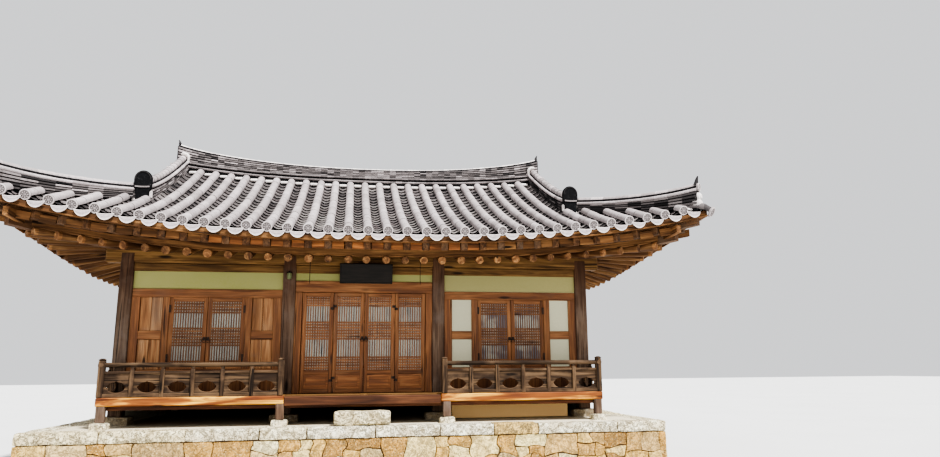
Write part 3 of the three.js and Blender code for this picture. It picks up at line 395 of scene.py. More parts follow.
def plaster(name, slot, colour, stain, above=None):
    """Trowelled plaster with broad stains, and with painted shade over it above a given level."""
    f = Finish(name, slot, 0.9)
    broad = f.noise(0.9, 5.0, 0.6, source="object")
    fine = f.noise(38, 4.0, 0.6, source="object")
    shade = f.mix(f.share(broad, 0.3, 0.75), stain, colour)
    shade = f.mix(f.share(fine, 0.2, 0.8), times(colour, 0.9), shade)
    if above:
        # above: painted shade, a darker and yellower multiply over the plaster above a level, where the eave
        # shades it
        level, shade_tint = above
        shade = f.mix(f.level(level - 0.02, level + 0.02), shade, f.mix(1.0, shade, shade_tint, "MULTIPLY"))
    return f.finish(shade, fine, 0.002, 0.5)


def rock(name, slot, stops, speckle):
    """Stone whose colour follows the tone of each block, with dark and light grains, stains and lichen."""
    f = Finish(name, slot, 0.9, sheen=0.2)
    colour = f.ramp(f.attribute("tone", "Fac"), stops)
    broad = f.noise(6, 6.0, 0.68)
    colour = f.mix(f.share(broad, 0.42, 0.64), f.mix(0.5, colour, (0.34, 0.22, 0.08)), colour)
    grains = f.noise(48, 3.0, 0.75)
    colour = f.mix(f.share(grains, 0.54, 0.60, speckle), colour, (0.12, 0.10, 0.075))
    colour = f.mix(f.share(grains, 0.45, 0.38, 0.3), colour, (0.97, 0.88, 0.60))
    patches = f.noise(13, 6.0, 0.8)
    colour = f.mix(f.share(patches, 0.60, 0.65, 0.7), colour, (0.20, 0.175, 0.13))
    veins = f.noise(8, 6.0, 0.72, 0.8)
    from_vein = f.maths("ABSOLUTE", f.maths("SUBTRACT", veins, 0.5))
    vein_share = f.maths("SUBTRACT", 1.0, f.share(from_vein, 0.012, 0.032))
    colour = f.mix(f.maths("MULTIPLY", vein_share, 0.9 * speckle), colour, (0.17, 0.13, 0.07))
    height = f.maths("ADD", f.noise(14, 6.0, 0.65), f.maths("MULTIPLY", grains, 0.4))
    height = f.maths("SUBTRACT", height, f.maths("MULTIPLY", vein_share, 0.25))
    return f.finish(colour, height, 0.02, 1.0)


def fired_clay():
    """Roof tile: tone 0 is charcoal, 0.5 the grey of a tile in use, 1 the white of lime and end plates."""
    f = Finish("fired_clay", "roof_tile", 0.8, sheen=0.15)
    stops = [(0.0, (0.008, 0.008, 0.009)), (0.25, (0.050, 0.045, 0.045)), (0.5, (0.23, 0.205, 0.20)),
             (0.75, (0.54, 0.485, 0.48)), (1.0, (0.88, 0.83, 0.785))]
    colour = f.ramp(f.attribute("tone", "Fac"), stops)
    broad = f.share(f.noise(3, 5.0, 0.65), 0.42, 0.62, 0.35)
    colour = f.mix(broad, colour, f.mix(1.0, colour, (0.66, 0.62, 0.60), "MULTIPLY"))
    fine = f.noise(30, 5.0, 0.75)
    colour = f.mix(f.share(fine, 0.48, 0.64, 0.62), colour, f.mix(0.6, colour, (0.03, 0.03, 0.035)))
    lichen = f.noise(13, 6.0, 0.75)
    colour = f.mix(f.share(lichen, 0.60, 0.70, 0.2), colour, (0.55, 0.53, 0.5))
    return f.finish(colour, fine, 0.003, 0.5)


def paper(name, dusty):
    """Mulberry paper: long fibres, yellowed in places and grey with dust in others."""
    f = Finish(name, "window_paper", 0.9)
    fibres = f.noise((30, 30, 8), 5.0, 0.7, 1.5, "object")
    colour = f.mix(f.share(fibres, 0.3, 0.7), (0.325, 0.335, 0.30), (0.42, 0.43, 0.385))
    dust = f.noise(2.6, 3.0, source="object")
    colour = f.mix(f.share(dust, 0.45, 0.58, dusty), colour, (0.13, 0.13, 0.155))
    return f.finish(colour, fibres, 0.0005, 0.3)


def painted(name, slot, colour, roughness):
    f = Finish(name, slot, roughness)
    streak = f.noise((3, 30, 30), 4.0, 0.6)
    colour = f.mix(f.share(streak, 0.3, 0.8), times(colour, 0.6), times(colour, 1.7))
    return f.finish(colour, streak, 0.001, 0.4)


def rusty_iron():
    f = Finish("iron", "black_iron", 0.55, 0.85, 0.5)
    rust = f.noise(60, 5.0, 0.7)
    colour = f.mix(f.share(rust, 0.45, 0.7), (0.025, 0.023, 0.022), (0.09, 0.05, 0.03))
    return f.finish(colour, rust, 0.0008, 0.6)


OLD, RED, GOLD = "weathered_timber", "red_timber", "golden_timber"
# grey_wood is painted darker and browner above 2.5 m, as shade under the eave
GREY_WOOD = wood("grey_wood", OLD, (0.088, 0.053, 0.036), (0.135, 0.086, 0.058), (0.20, 0.138, 0.096), 0.85,
                 0.45, (0.19, 0.15, 0.125), cracked=0.37, head=(2.5, 3.3, (0.66, 0.46, 0.32)))
RAIL_WOOD = wood("rail_wood", OLD, (0.034, 0.020, 0.013), (0.066, 0.040, 0.023), (0.165, 0.105, 0.060), 0.88,
                 0.35, (0.27, 0.17, 0.10), cracked=0.38)
RED_WOOD = wood("red_wood", RED, (0.145, 0.062, 0.030), (0.225, 0.096, 0.040), (0.315, 0.152, 0.066), 0.66,
                0.25, (0.18, 0.115, 0.075))
PANEL_WOOD = wood("panel_wood", RED, (0.16, 0.070, 0.030), (0.29, 0.145, 0.066), (0.42, 0.24, 0.12), 0.7, 0.4,
                  (0.17, 0.14, 0.11))
# A darker copy of red_wood: painted shade for the porch's middle and inner beams
SHADED_RED_WOOD = wood("shaded_red_wood", RED, (0.068, 0.026, 0.013), (0.118, 0.045, 0.020), (0.21, 0.088, 0.040), 0.68)
GOLD_WOOD = wood("gold_wood", GOLD, (0.098, 0.050, 0.018), (0.19, 0.102, 0.037), (0.29, 0.165, 0.062), 0.75)
BROWN_GOLD_WOOD = wood("brown_gold_wood", GOLD, (0.080, 0.037, 0.014), (0.165, 0.077, 0.030), (0.26, 0.135, 0.054), 0.78)
ROUND_WOOD = wood("round_wood", GOLD, (0.10, 0.043, 0.017), (0.215, 0.103, 0.042), (0.37, 0.205, 0.088), 0.72)
EAVE_WOOD = wood("eave_wood", GOLD, (0.080, 0.037, 0.015), (0.175, 0.085, 0.034), (0.30, 0.158, 0.064), 0.8)
FLYING_WOOD = wood("flying_wood", GOLD, (0.058, 0.028, 0.013), (0.125, 0.060, 0.027), (0.21, 0.108, 0.050),
                   0.8, 0.4, (0.16, 0.12, 0.085))
INFILL_WOOD = wood("infill_wood", GOLD, (0.10, 0.041, 0.016), (0.24, 0.094, 0.034), (0.39, 0.165, 0.056),
                   0.75)
# beam_wood's light figure is bright yellow: partly the wood's grain, partly painted sunlit highlights
BEAM_WOOD = wood("beam_wood", GOLD, (0.14, 0.045, 0.018), (0.26, 0.092, 0.024), (0.80, 0.43, 0.085), 0.65)
FLOOR_WOOD = wood("floor_wood", GOLD, (0.16, 0.075, 0.03), (0.28, 0.14, 0.055), (0.40, 0.22, 0.095), 0.5,
                  source="object")
BARGE_WOOD = wood("barge_wood", RED, (0.12, 0.042, 0.02), (0.20, 0.075, 0.033), (0.30, 0.125, 0.055), 0.68,
                  source="object", run=1)
LIME = plaster("lime", "lime_plaster", (0.77, 0.76, 0.66), (0.66, 0.65, 0.52))
# The two front plasters below are darker, yellower copies of lime: painted shade for the front wall under the
# eave; the second is darkened further above the lintel
LIME_SHADE = plaster("lime_shade", "lime_plaster", (0.35, 0.335, 0.145), (0.27, 0.275, 0.085))
SHADED_LIME_FIELD = plaster("shaded_lime_field", "lime_plaster", (0.52, 0.50, 0.36), (0.47, 0.46, 0.35),
                     (LINTEL_TOP, (0.68, 0.64, 0.40)))
# tan is pushed near full brightness: painted light, standing in for the light that reaches the low wall under
# the porch
TAN = plaster("tan", "tan_plaster", (0.98, 0.68, 0.34), (0.88, 0.58, 0.28))
EARTH = plaster("earth", "tan_plaster", (0.70, 0.63, 0.48), (0.58, 0.50, 0.36))
JOINT = plaster("joint", "rubble_stone", (0.13, 0.085, 0.045), (0.07, 0.045, 0.025))
COPING_TONES = [(0.0, (0.74, 0.52, 0.20)), (0.5, (0.97, 0.88, 0.60)), (1.0, (1.0, 0.97, 0.80))]
RUBBLE_TONES = [(0.0, (0.33, 0.17, 0.05)), (0.2, (0.60, 0.33, 0.085)), (0.4, (0.78, 0.50, 0.15)),
                (0.55, (0.98, 0.83, 0.42)), (0.7, (0.60, 0.35, 0.115)), (0.85, (1.0, 0.92, 0.58)),
                (1.0, (0.45, 0.30, 0.13))]
COPING = rock("coping_granite", "granite", COPING_TONES, 0.8)
RUBBLE = rock("rubble", "rubble_stone", RUBBLE_TONES, 0.45)
# The column pads' stone is a darker copy of the pale stone: painted shade, for pads under the porch floor and
# the eaves
SHADED_PAD_STONE = rock("shaded_pad_stone", "granite", [(0.0, (0.25, 0.21, 0.17)), (1.0, (0.42, 0.37, 0.30))], 0.35)
CLAY = fired_clay()
PAPER = paper("paper", 0.25)
DUSTY_PAPER = paper("dusty_paper", 0.9)
BLACK = painted("black_paint", "black_board", (0.015, 0.0115, 0.009), 0.6)
LAMP_GLASS = painted("lamp_glass", "window_paper", (0.16, 0.18, 0.085), 0.35)
IRON = rusty_iron()


# Roof surface, as on the front: `along` from a side's middle to its corner, `across` from the ridge line

CORNER_X = 5.615
BARGE_X = 3.88
FOOT_Y = BARGE_X - COLUMN_X + COLUMN_Y  # where the hip meets the gable's edge
EAVE_LEVEL = 3.71
SLOPE_AT_EAVE = 0.33
SLOPE_GAIN = 0.03  # steeper towards the ridge, per metre
CORNER_RISE = 0.52
OVERHANG = 1.45  # at the middle of a side
CORNER_REACH = 0.29  # how much further the eave reaches at a corner
EAVE_THICK = 0.165
WALL_UNDER = 3.832
RIDGE_THICK = 0.35
BED_END, BOARD_END, SOFFIT_END, PAN_END = 1.72, 1.70, 1.59, 1.6  # how far each runs past the corner column


def rise(along):
    return CORNER_RISE * (along / CORNER_X) ** 2.5


def eave_at(along):
    return COLUMN_Y + OVERHANG + CORNER_REACH * (along / CORNER_X) ** 6


def roof_top(along, across):
    inward = eave_at(along) - across
    return EAVE_LEVEL + SLOPE_AT_EAVE * inward + SLOPE_GAIN * inward**2 + rise(along)


def slope_at(along, across):
    return SLOPE_AT_EAVE + 2 * SLOPE_GAIN * (eave_at(along) - across)


@np.vectorize
def roof_under(along, across):
    if across < FOOT_Y:
        share = (FOOT_Y - across) / FOOT_Y
        return WALL_UNDER + (roof_top(along, 0) - RIDGE_THICK - WALL_UNDER) * share
    head = max(FOOT_Y, along - (BARGE_X - FOOT_Y))
    outward = max(0.0, along - BARGE_X) / (CORNER_X - BARGE_X)
    head_under = WALL_UNDER + (EAVE_LEVEL + CORNER_RISE - EAVE_THICK - WALL_UNDER) * outward**1.5
    eave_under = roof_top(along, eave_at(along)) - EAVE_THICK
    reach = eave_at(along) - head
    return head_under + (eave_under - head_under) * ((across - head) / reach if reach > 1e-6 else 1)


class Side:
    """One side of the roof: `at` runs along its eave from the middle, `across` outwards."""

    def __init__(self, name, at_way, out_way, column_at, last_row):
        self.name, self.at_way, self.out_way = name, point(*at_way), point(*out_way)
        self.long = column_at == COLUMN_X
        self.shift = 0.0 if self.long else BARGE_X - FOOT_Y
        self.column_at, self.last_row = column_at, last_row

    def along(self, at):
        at = np.abs(at)
        return at if self.long else np.where(at < FOOT_Y, at * BARGE_X / FOOT_Y, at + BARGE_X - FOOT_Y)

    def place(self, at, across, z):
        at, across, z = (np.asarray(value)[..., None] for value in np.broadcast_arrays(at, across, z))
        return at * self.at_way + (across + self.shift) * self.out_way + z * UP

    def hip(self, at):
        """Where the hip's line crosses, as a distance across."""
        return np.abs(at) - (self.column_at - COLUMN_Y)

    def line(self, at, across):
        """A line that keeps its distance from the eave, given by how far across it is at the middle."""
        return across + eave_at(self.along(at)) - COLUMN_Y - OVERHANG


SIDES = [
    Side("front", (1, 0, 0), (0, -1, 0), COLUMN_X, 17),
    Side("back", (-1, 0, 0), (0, 1, 0), COLUMN_X, 17),
    Side("right", (0, 1, 0), (1, 0, 0), COLUMN_Y, 13),
    Side("left", (0, -1, 0), (-1, 0, 0), COLUMN_Y, 13),
]


# Rows of tiles

ROW = 0.306
ROUND_TILE = {"radius": 0.0765, "upper": 0.0745, "length": 0.30}
PAN_TILE = {"half": 0.107, "bottom": -0.088, "depth": 0.058, "step": 0.205, "lift": 0.042, "set_back": 0.02}
BED_BELOW = 0.09  # the clay bed under the tiles, below the roof surface
FALL_X = 3.74  # middle of the ridge that falls along the gable's edge
FALL_HALF = 0.13
ROW_END = 0.22  # how far from the ridge line a row of the long slopes stops
GABLE_HALF = 1.8  # where the gable's wall ends, and the rows run on under the falling ridge


def row_head(side, at):
    """How far up a row of tiles runs."""
    hip = side.hip(at) + 0.1
    if not side.long:
        return max(hip, gable_head(at, 3.4) - side.shift)
    return ROW_END if abs(at) < FALL_X - FALL_HALF - 0.02 else max(hip, FOOT_Y + 0.1)


def gable_head(at, inner):
    """How far in, as x, a short side runs: to the gable wall, or only under the falling ridge beside it."""
    return inner if abs(at) < GABLE_HALF else FALL_X - 0.08


def slope_frame(side, at, across):
    """Points of the roof surface along a row, with the directions up from it and down along it."""
    along = side.along(at)
    slope = slope_at(along, across)[:, None]
    length = np.sqrt(1 + slope**2)
    up = slope / length * side.out_way + 1 / length * UP
    down = 1 / length * side.out_way - slope / length * UP
    return side.place(at, across, roof_top(along, across)), up, down


def tile_ends(start, end, step):
    return np.linspace(start, end, max(1, round((start - end) / step)) + 1)


def doubled(values):
    """Stations in pairs, so that each tile has its own start and end."""
    return np.repeat(values, 2)[1:-1]


def for_each(tiles, draw):
    """A random value for each tile, at both of its stations."""
    return np.repeat([draw() for _ in range(tiles)], 2)


def round_row(piece, side, at):
    stops = tile_ends(eave_at(side.along(at)), row_head(side, at), ROUND_TILE["length"])
    path, up, down = slope_frame(side, at, doubled(stops))
    tiles = len(stops) - 1
    radius = np.tile([ROUND_TILE["radius"], ROUND_TILE["upper"]], tiles)
    radius = radius + for_each(tiles, lambda: rng.uniform(-0.002, 0.002))
    for way in (up, side.at_way):
        path = path + way * for_each(tiles, lambda: rng.uniform(-0.003, 0.003))[:, None]
    tone = for_each(tiles, lambda: rng.gauss(0.66, 0.03))[:-1]
    tone[1::2] = 0.45
    sweep(piece, path, circle(radius, 10, -14, 194), side.at_way, up, tone, closed=False, caps=False)
    end_disc(piece, path[0], side.at_way, up[0], down[0])


DISC_RINGS = [(-0.015, 1.0), (0.016, 1.0), (0.02, 0.93), (0.02, 0.80), (0.012, 0.74), (0.012, 0.26),
              (0.018, 0.22), (0.018, 0.02)]  # how far out, and the share of the radius
DISC_TONES = [0.6, 0.78, 0.8, 0.58, 0.44, 0.6, 0.62]
PETALS = 8


def end_disc(piece, centre, side_way, up, out, radius=0.08):
    """The round plate at the foot of a row: a pale rim round a grey field with petals and a boss."""
    depths, shares = np.array(DISC_RINGS).T
    rings = circle(radius * shares, 20)
    sweep(piece, centre + depths[:, None] * out, rings, side_way, up, DISC_TONES, caps=False)
    for angle in np.arange(PETALS) * math.tau / PETALS:
        way = side_way * math.cos(angle) + up * math.sin(angle)
        timber(piece, about(0, 0.012), about(0, 0.006), (-0.004, 0.003), "x", 0.002, 0.68,
               [way, np.cross(out, way), out], centre + way * radius * 0.5 + out * 0.015)


def pan_row(piece, side, at):
    """A row of concave tiles, each lapping over the one below, with its hanging end plate at the eave."""
    stops = tile_ends(eave_at(side.along(at)) - 0.01, row_head(side, at), PAN_TILE["step"])
    lift = PAN_TILE["lift"]
    across, heights = [stops[0], stops[1]], [lift, 0.0]
    for stop, after in zip(stops[1:-1], stops[2:]):
        across.extend([stop - PAN_TILE["set_back"], stop, stop, after])
        heights.extend([0.45 * lift, 0.5 * lift, lift + rng.uniform(-0.003, 0.003), 0.0])
    path, up, down = slope_frame(side, at, np.array(across))
    path = path + up * np.array(heights)[:, None]
    u = np.linspace(1, -1, 7)
    section = np.stack([u * PAN_TILE["half"], PAN_TILE["bottom"] + PAN_TILE["depth"] * u**2], -1)
    # Tones: each tile's top is painted dark as shade between the round rows, the recessed foot of each step
    # (0.0, 0.06) is a painted shadow under the tile's edge, and the edge (about 0.84) a painted highlight
    tone = [rng.gauss(0.3, 0.08)]
    for _ in stops[2:]:
        tone.extend([0.0, 0.06, rng.gauss(0.84, 0.10), rng.gauss(0.34, 0.08)])
    sweep(piece, path, section, side.at_way, up, np.clip(tone, 0, 1), closed=False, caps=False)
    crescent(piece, path[0] - up[0] * lift, side.at_way, down[0])
    timber(piece, about(0, 0.08), (-0.04, 0.05), (-0.02, 0.03), "x", 0.015, rng.uniform(0.9, 1.0),
           [side.at_way, -down[-1], up[-1]], path[-1] - up[-1] * 0.03)


def crescent(piece, centre, side_way, down):
    """The pale plate that hangs from the lowest concave tile, with raised lines that follow its foot."""
    out = down - UP * np.dot(down, UP)
    out = out / np.linalg.norm(out)
    u = np.linspace(-1, 1, 15)
    path = centre + (u * 0.121)[:, None] * side_way + down * 0.005
    top = -0.066 + 0.012 * u**2
    foot = top - 0.012 - 0.092 * (1 - u**2) ** 0.75
    middle = (top + foot) / 2
    for upper, lower, proud, tone in ((top, foot, 0.016, 0.69), (foot + 0.013, foot + 0.002, 0.020, 0.93),
                                      (top - 0.001, top - 0.012, 0.019, 0.86),
                                      (middle + 0.005, middle - 0.005, 0.018, 0.62)):
        sweep(piece, path, rectangle(0, proud, -upper, -lower), out, out * 0.24 - UP * 0.97, tone)


def sheet(piece, side, stations, start_of, stop_of, level_of, rows, upward, tone, order=(0, 1, 2)):
    """A curved sheet between two lines that run along a side of the roof, seen from above or from below."""
    points = np.array([side.place(at, across, level_of(at, across)) for at in stations
                       for across in np.linspace(start_of(at), stop_of(at), rows)])
    faces = grid_faces(len(stations), rows)
    a, b, c = points[faces[len(faces) // 2][:3]]
    if (np.cross(b - a, c - b)[2] > 0) != upward:
        faces = faces[:, ::-1]
    piece.add(points, [faces], tone, points[:, order])


def clay_bed(piece, side):
    """The bed under the tiles, with the roof's underside."""
    top = lambda at, across: roof_top(side.along(at), across) - BED_BELOW
    under = lambda at, across: roof_under(side.along(at), across) + 0.002
    foot = lambda at: eave_at(side.along(at)) - 0.05
    head = lambda at: 0.0 if side.long else gable_head(at, 3.27) - side.shift
    hip = lambda at: min(side.hip(at), foot(at))
    edge = BARGE_X if side.long else FOOT_Y
    last = side.column_at + BED_END
    for stations, upper in ((np.linspace(-edge, edge, 49), head), (np.linspace(-edge, -last, 9), hip),
                            (np.linspace(edge, last, 9), hip)):
        for level_of, upward in ((top, True), (under, False)):
            sheet(piece, side, stations, foot, upper, level_of, 8, upward, 0.12)


def eave_board(piece, side):
    """The board along the eave that the lowest tiles bear on, and the thin batten under it."""
    at = np.linspace(-side.column_at - BOARD_END, side.column_at + BOARD_END, 61)
    along = side.along(at)
    path = side.place(at, eave_at(along), roof_top(along, eave_at(along)))
    sweep(piece, path, rectangle(-0.075, -0.015, -0.168, -0.085), side.out_way, UP, 0.42)
    sweep(piece, path, rectangle(-0.09, 0.0, -0.178, -0.16), side.out_way, UP, 0.6)


# Rafters: `at` is where a rafter ends, and ends are distances across at the middle of a side

MAIN_END = 3.70
FLYING_END = 4.0
RAFTER_STEP = 0.306
RAFTER_HEAD = COLUMN_Y - 0.1
RAFTER_DEPTH = 0.12
ROUND_END = 3.302  # level of a round rafter's end at the middle of a side
ROUND_RISE = 0.85  # the ends' rise towards a corner, as a share of the eave's
INFILL_ORANGE_SPAN = (-2.3, 1.8)  # stretch of eave whose infill boards are more orange; outside it they are browner and darker
FAN_HEART = 0.875  # the fan's heart, in from the corner column on both ways
RAFTER_SEAT = 0.0606  # a round rafter's middle, over the purlin
FLYING = {"lap": 0.12, "below": 0.085, "width": 0.11, "height": 0.125}
INFILL = {"set_back": 0.03, "below": 0.082, "clear": 0.058, "thick": 0.02, "height": 0.122}
BOARD_THICK = 0.022
HIP_RAFTERS = [(1.33, -0.1, -0.3, 0.165, 0.4), (1.6, 0.01, -0.125, 0.14, 0.6)]  # reach, levels, width, tone


def fan(side, at, across):
    """Where a rafter crosses a distance out, and its share of the full spacing there."""
    hinge, heart = side.column_at - FAN_HEART, COLUMN_Y - FAN_HEART
    if abs(at) <= hinge:
        return at, 1.0
    share = (across - heart) / (side.line(at, MAIN_END) - heart)
    return math.copysign(hinge + (abs(at) - hinge) * share, at), share


def round_end(side, at):
    return ROUND_END + ROUND_RISE * rise(side.along(at))


def rafter(round_piece, flying_piece, side, at):
    """A round rafter whose end shows, and the square one that flies past it."""
    end = side.line(at, MAIN_END)
    head_at, head_share = fan(side, at, RAFTER_HEAD)
    end_at, _ = fan(side, at, end)
    radius = [min(0.056, RAFTER_STEP * head_share * 0.42), 0.068 + rng.uniform(-0.005, 0.004)]
    start = side.place(head_at, RAFTER_HEAD, PURLIN_TOP + RAFTER_SEAT)
    stop = side.place(end_at, end, round_end(side, end_at))
    ahead = (stop - start) / np.linalg.norm(stop - start)
    across = np.cross(ahead, UP)
    across /= np.linalg.norm(across)
    stops = np.array([0.0, 0.5, 0.97, 1.0])
    section = circle(radius[0] + (radius[1] - radius[0]) * stops - [0, 0, 0, 0.006], 14)
    # Rafter bodies are painted darker as the fan closes into a corner: shade deep under the eave
    body = rng.uniform(0.1, 0.4) * head_share**2
    tone = [body, body, rng.choice((0.2, 0.4, 0.6, 0.8, 1.0))]
    path = start + (stop - start) * stops[:, None]
    sweep(round_piece, path, section, across, np.cross(across, ahead), tone)
    flying = []
    for reach in (end - FLYING["lap"], side.line(at, FLYING_END)):
        plan, _ = fan(side, at, reach)
        flying.append(side.place(plan, reach, roof_under(side.along(plan), reach) - FLYING["below"]))
    beam_between(flying_piece, *flying, FLYING["width"], FLYING["height"], rng.uniform(0.3, 0.6), 0.006)


def main_board_level(side, at, across):
    start = PURLIN_TOP + RAFTER_DEPTH
    stop = round_end(side, at) - 0.047 + RAFTER_DEPTH
    outer = COLUMN_Y + 0.1
    share = (across - outer) / max(side.line(at, MAIN_END) - outer, 1e-6)
    return start + (stop - start) * max(0.0, share)


def eaves(side):
    """All that shows under one side's eave."""
    boards, round_piece, flying_piece, orange_infill, brown_infill = (Piece() for _ in range(5))
    eave_board(boards, side)
    last = side.last_row - 1
    for i in range(-last, last + 1):
        rafter(round_piece, flying_piece, side, i * RAFTER_STEP + rng.uniform(-0.012, 0.012))
    at = np.linspace(-side.column_at - SOFFIT_END, side.column_at + SOFFIT_END, 73)
    order = (0, 1, 2) if side.long else (1, 0, 2)
    main_foot = lambda v: side.line(v, MAIN_END)
    flying_foot = lambda v: side.line(v, FLYING_END)
    main_head = lambda v: min(max(RAFTER_HEAD, side.hip(v)), main_foot(v))
    flying_head = lambda v: min(max(main_foot(v), side.hip(v)), flying_foot(v))
    main_level = lambda v, across: main_board_level(side, v, across)
    flying_level = lambda v, across: roof_under(side.along(v), across) - BOARD_THICK
    sheet(boards, side, at, main_head, main_foot, main_level, 6, False, 0.45, order)
    sheet(boards, side, at, flying_head, flying_foot, flying_level, 6, False, 0.5, order)
    for i in range(-last, last):
        infill = orange_infill if INFILL_ORANGE_SPAN[0] < (i + 0.5) * RAFTER_STEP < INFILL_ORANGE_SPAN[1] else brown_infill
        spots = []
        for v in (i * RAFTER_STEP, (i + 1) * RAFTER_STEP):
            reach = side.line(v, FLYING_END) - INFILL["set_back"]
            level = roof_under(side.along(v), reach) - INFILL["below"]
            spots.append(side.place(fan(side, v, reach)[0], reach, level))
        ahead = (spots[1] - spots[0]) / np.linalg.norm(spots[1] - spots[0])
        ahead = ahead * INFILL["clear"]
        beam_between(infill, spots[0] + ahead, spots[1] - ahead, INFILL["thick"],
                     INFILL["height"] + rng.uniform(-0.010, 0.004), rng.uniform(0.3, 1.0), 0.003)
    orange_infill.build(side.name + "_orange_infill", INFILL_WOOD)
    brown_infill.build(side.name + "_brown_infill", BROWN_GOLD_WOOD)
    end, level = main_foot(at), round_end(side, at) + 0.062
    section = rectangle(-0.09, -0.012, 0, roof_under(side.along(at), end) - 0.145 - level)
    sweep(boards, side.place(at, end, level), section, side.out_way, UP, 0.68)
    if side.long:
        for x_way in (-1, 1):
            hip_rafter(flying_piece, x_way, side.out_way[1])
    round_piece.build(side.name + "_round_rafters", ROUND_WOOD, side.name + "_rafters")
    flying_piece.build(side.name + "_flying_rafters", FLYING_WOOD)
    boards.build(side.name + "_eave_boards", EAVE_WOOD)


def hip_rafter(piece, x_way, y_way):
    """The lower hip rafter, and the upper one that reaches past it."""
    side_way = point(x_way, -y_way, 0) * math.sqrt(0.5)
    for reach, top, bottom, width, tone in HIP_RAFTERS:
        out = np.linspace(-0.35, reach, 9)
        from_foot = np.maximum(out, FOOT_Y - COLUMN_Y)
        under = roof_under(COLUMN_X + from_foot, COLUMN_Y + from_foot)
        path = np.stack([x_way * (COLUMN_X + out), y_way * (COLUMN_Y + out), under], -1)
        sweep(piece, path, rectangle(*about(0, width / 2), bottom, top), side_way, UP, tone)


# Ridges

class Ridge:
    """Courses of tiles along a ridge, with levels from the roof surface up."""

    def __init__(self, piece, foot, side_way):
        self.piece, self.foot, self.side_way = piece, foot, side_way

    def for_each(self, draw):
        return for_each((len(self.foot) + 1) // 2, draw)[: len(self.foot)]

    def course(self, section, tone, offset=0.0):
        sweep(self.piece, self.foot + offset, section, self.side_way, UP, tone)

    def core(self, half, bottom, top):
        # The core is near-black, so what shows of it between the courses is painted shade
        self.course(rectangle(-half, half, bottom, top), 0.02)

    def layers(self, bottom, top, half, count, tone):
        """Flat tiles in thin layers on both faces, with a recessed gap over each that is painted near-black
        as shade.
        """
        for k in range(count):
            low, high, gap = (bottom + (top - bottom) * (k + share) / count for share in (0, 0.6, 1))
            wide = half + self.for_each(lambda: rng.uniform(-0.006, 0.006))
            tones = np.clip(self.for_each(lambda: rng.gauss(tone, 0.13))[:-1], 0, 1)
            self.course(rectangle(-wide, wide, low, high), tones)
            # The recessed gap course is near-black: painted shade under each layer
            self.course(rectangle(0.028 - half, half - 0.028, high, gap), 0.04)

    def half_rounds(self, level, half, radius, tone):
        """A half-round course along each face."""
        for hand in HAND:
            size = radius + self.for_each(lambda: rng.uniform(-0.002, 0.002))
            tones = self.for_each(lambda: rng.gauss(tone, 0.05))[:-1]
            offset = UP * np.reshape(level, (-1, 1)) + self.side_way * hand * half
            self.course(circle(size, 10), tones, offset)

    def caps(self, level, radius, tone):
        """The round tiles on top, each a little narrower at its upper end."""
        size = np.tile([radius, radius - 0.005], len(self.foot))[: len(self.foot)]
        size = size + self.for_each(lambda: rng.uniform(-0.002, 0.002))
        tones = self.for_each(lambda: rng.gauss(tone, 0.05))[:-1]
        tones[1::2] = 0.25
        self.course(circle(size, 12, -30, 210), tones, UP * np.reshape(level, (-1, 1)))


RIDGE_END = 3.85
HIP_END = 1.62  # how far out from the corner column the hip ridge runs, on both ways


def main_ridge(piece):
    x = doubled(np.linspace(-RIDGE_END, RIDGE_END, 59))
    share = np.abs(x) / RIDGE_END
    level = roof_top(np.abs(x), 0)
    height = 0.31 + 0.13 * share**2 + 0.03 * share**14
    ridge = Ridge(piece, np.stack([x, 0 * x, level], -1), Y_WAY)
    ridge.core(0.115, -0.15, height - 0.05)
    ridge.half_rounds(-0.030, 0.185, 0.022, 0.52)
    ridge.half_rounds(0.060, 0.145, 0.020, 0.52)
    ridge.layers(0.092, height - 0.07, 0.142, 5, 0.47)
    ridge.caps(height - 0.062, 0.062, 0.90)
    outline = [[-0.14, 0.0], [0.14, 0.0], [0.12, 0.2], [0.11, 0.41], [-0.11, 0.41], [-0.12, 0.2]]
    for hand in HAND:
        spike(piece, point(hand * RIDGE_END, 0, level[0] + height[0] - 0.03), hand * X_WAY, 0.12)
        end = point(hand * (RIDGE_END + 0.025), 0, level[0])
        plate(piece, outline, end, hand * Y_WAY, UP, 0.06, 0.25, 0.05)


def spike(piece, foot, out, height):
    """The upright tip at the end of a ridge."""
    t = np.linspace(0, 1, 6)
    path = foot + out * (0.035 * t**2)[:, None] + UP * (height * t)[:, None]
    half, thick = 0.075 * (1 - t) ** 0.8 + 0.004, 0.022 * (1 - 0.6 * t)
    sweep(piece, path, rectangle(-half, half, -thick, thick), np.cross(UP, out), out, 0.16)


def falling_ridge(piece, x_way, y_way):
    y = doubled(np.linspace(FOOT_Y + 0.06, 0.13, 15))
    lift = 0.05 * (y / FOOT_Y) ** 4
    ridge = Ridge(piece, np.stack([0 * y + x_way * FALL_X, y_way * y, roof_top(FALL_X, y)], -1), X_WAY)
    ridge.core(0.085, -0.11, 0.20 + lift)
    # The right-hand ridge's layers are painted darker, as shade on the side away from the light
    ridge.layers(-0.05, 0.115 + lift, 0.118, 4, 0.48 if x_way < 0 else 0.22)
    ridge.half_rounds(0.15 + lift, 0.095, 0.034, 0.68)
    ridge.caps(0.224 + lift, 0.072, 0.66)
    lime_cap(piece, x_way, y_way)
    end_tile(piece, point(x_way * FALL_X, y_way * (FOOT_Y + 0.13), roof_top(FALL_X, FOOT_Y + 0.06) - 0.06),
             y_way * Y_WAY, 0.29, 0.54)


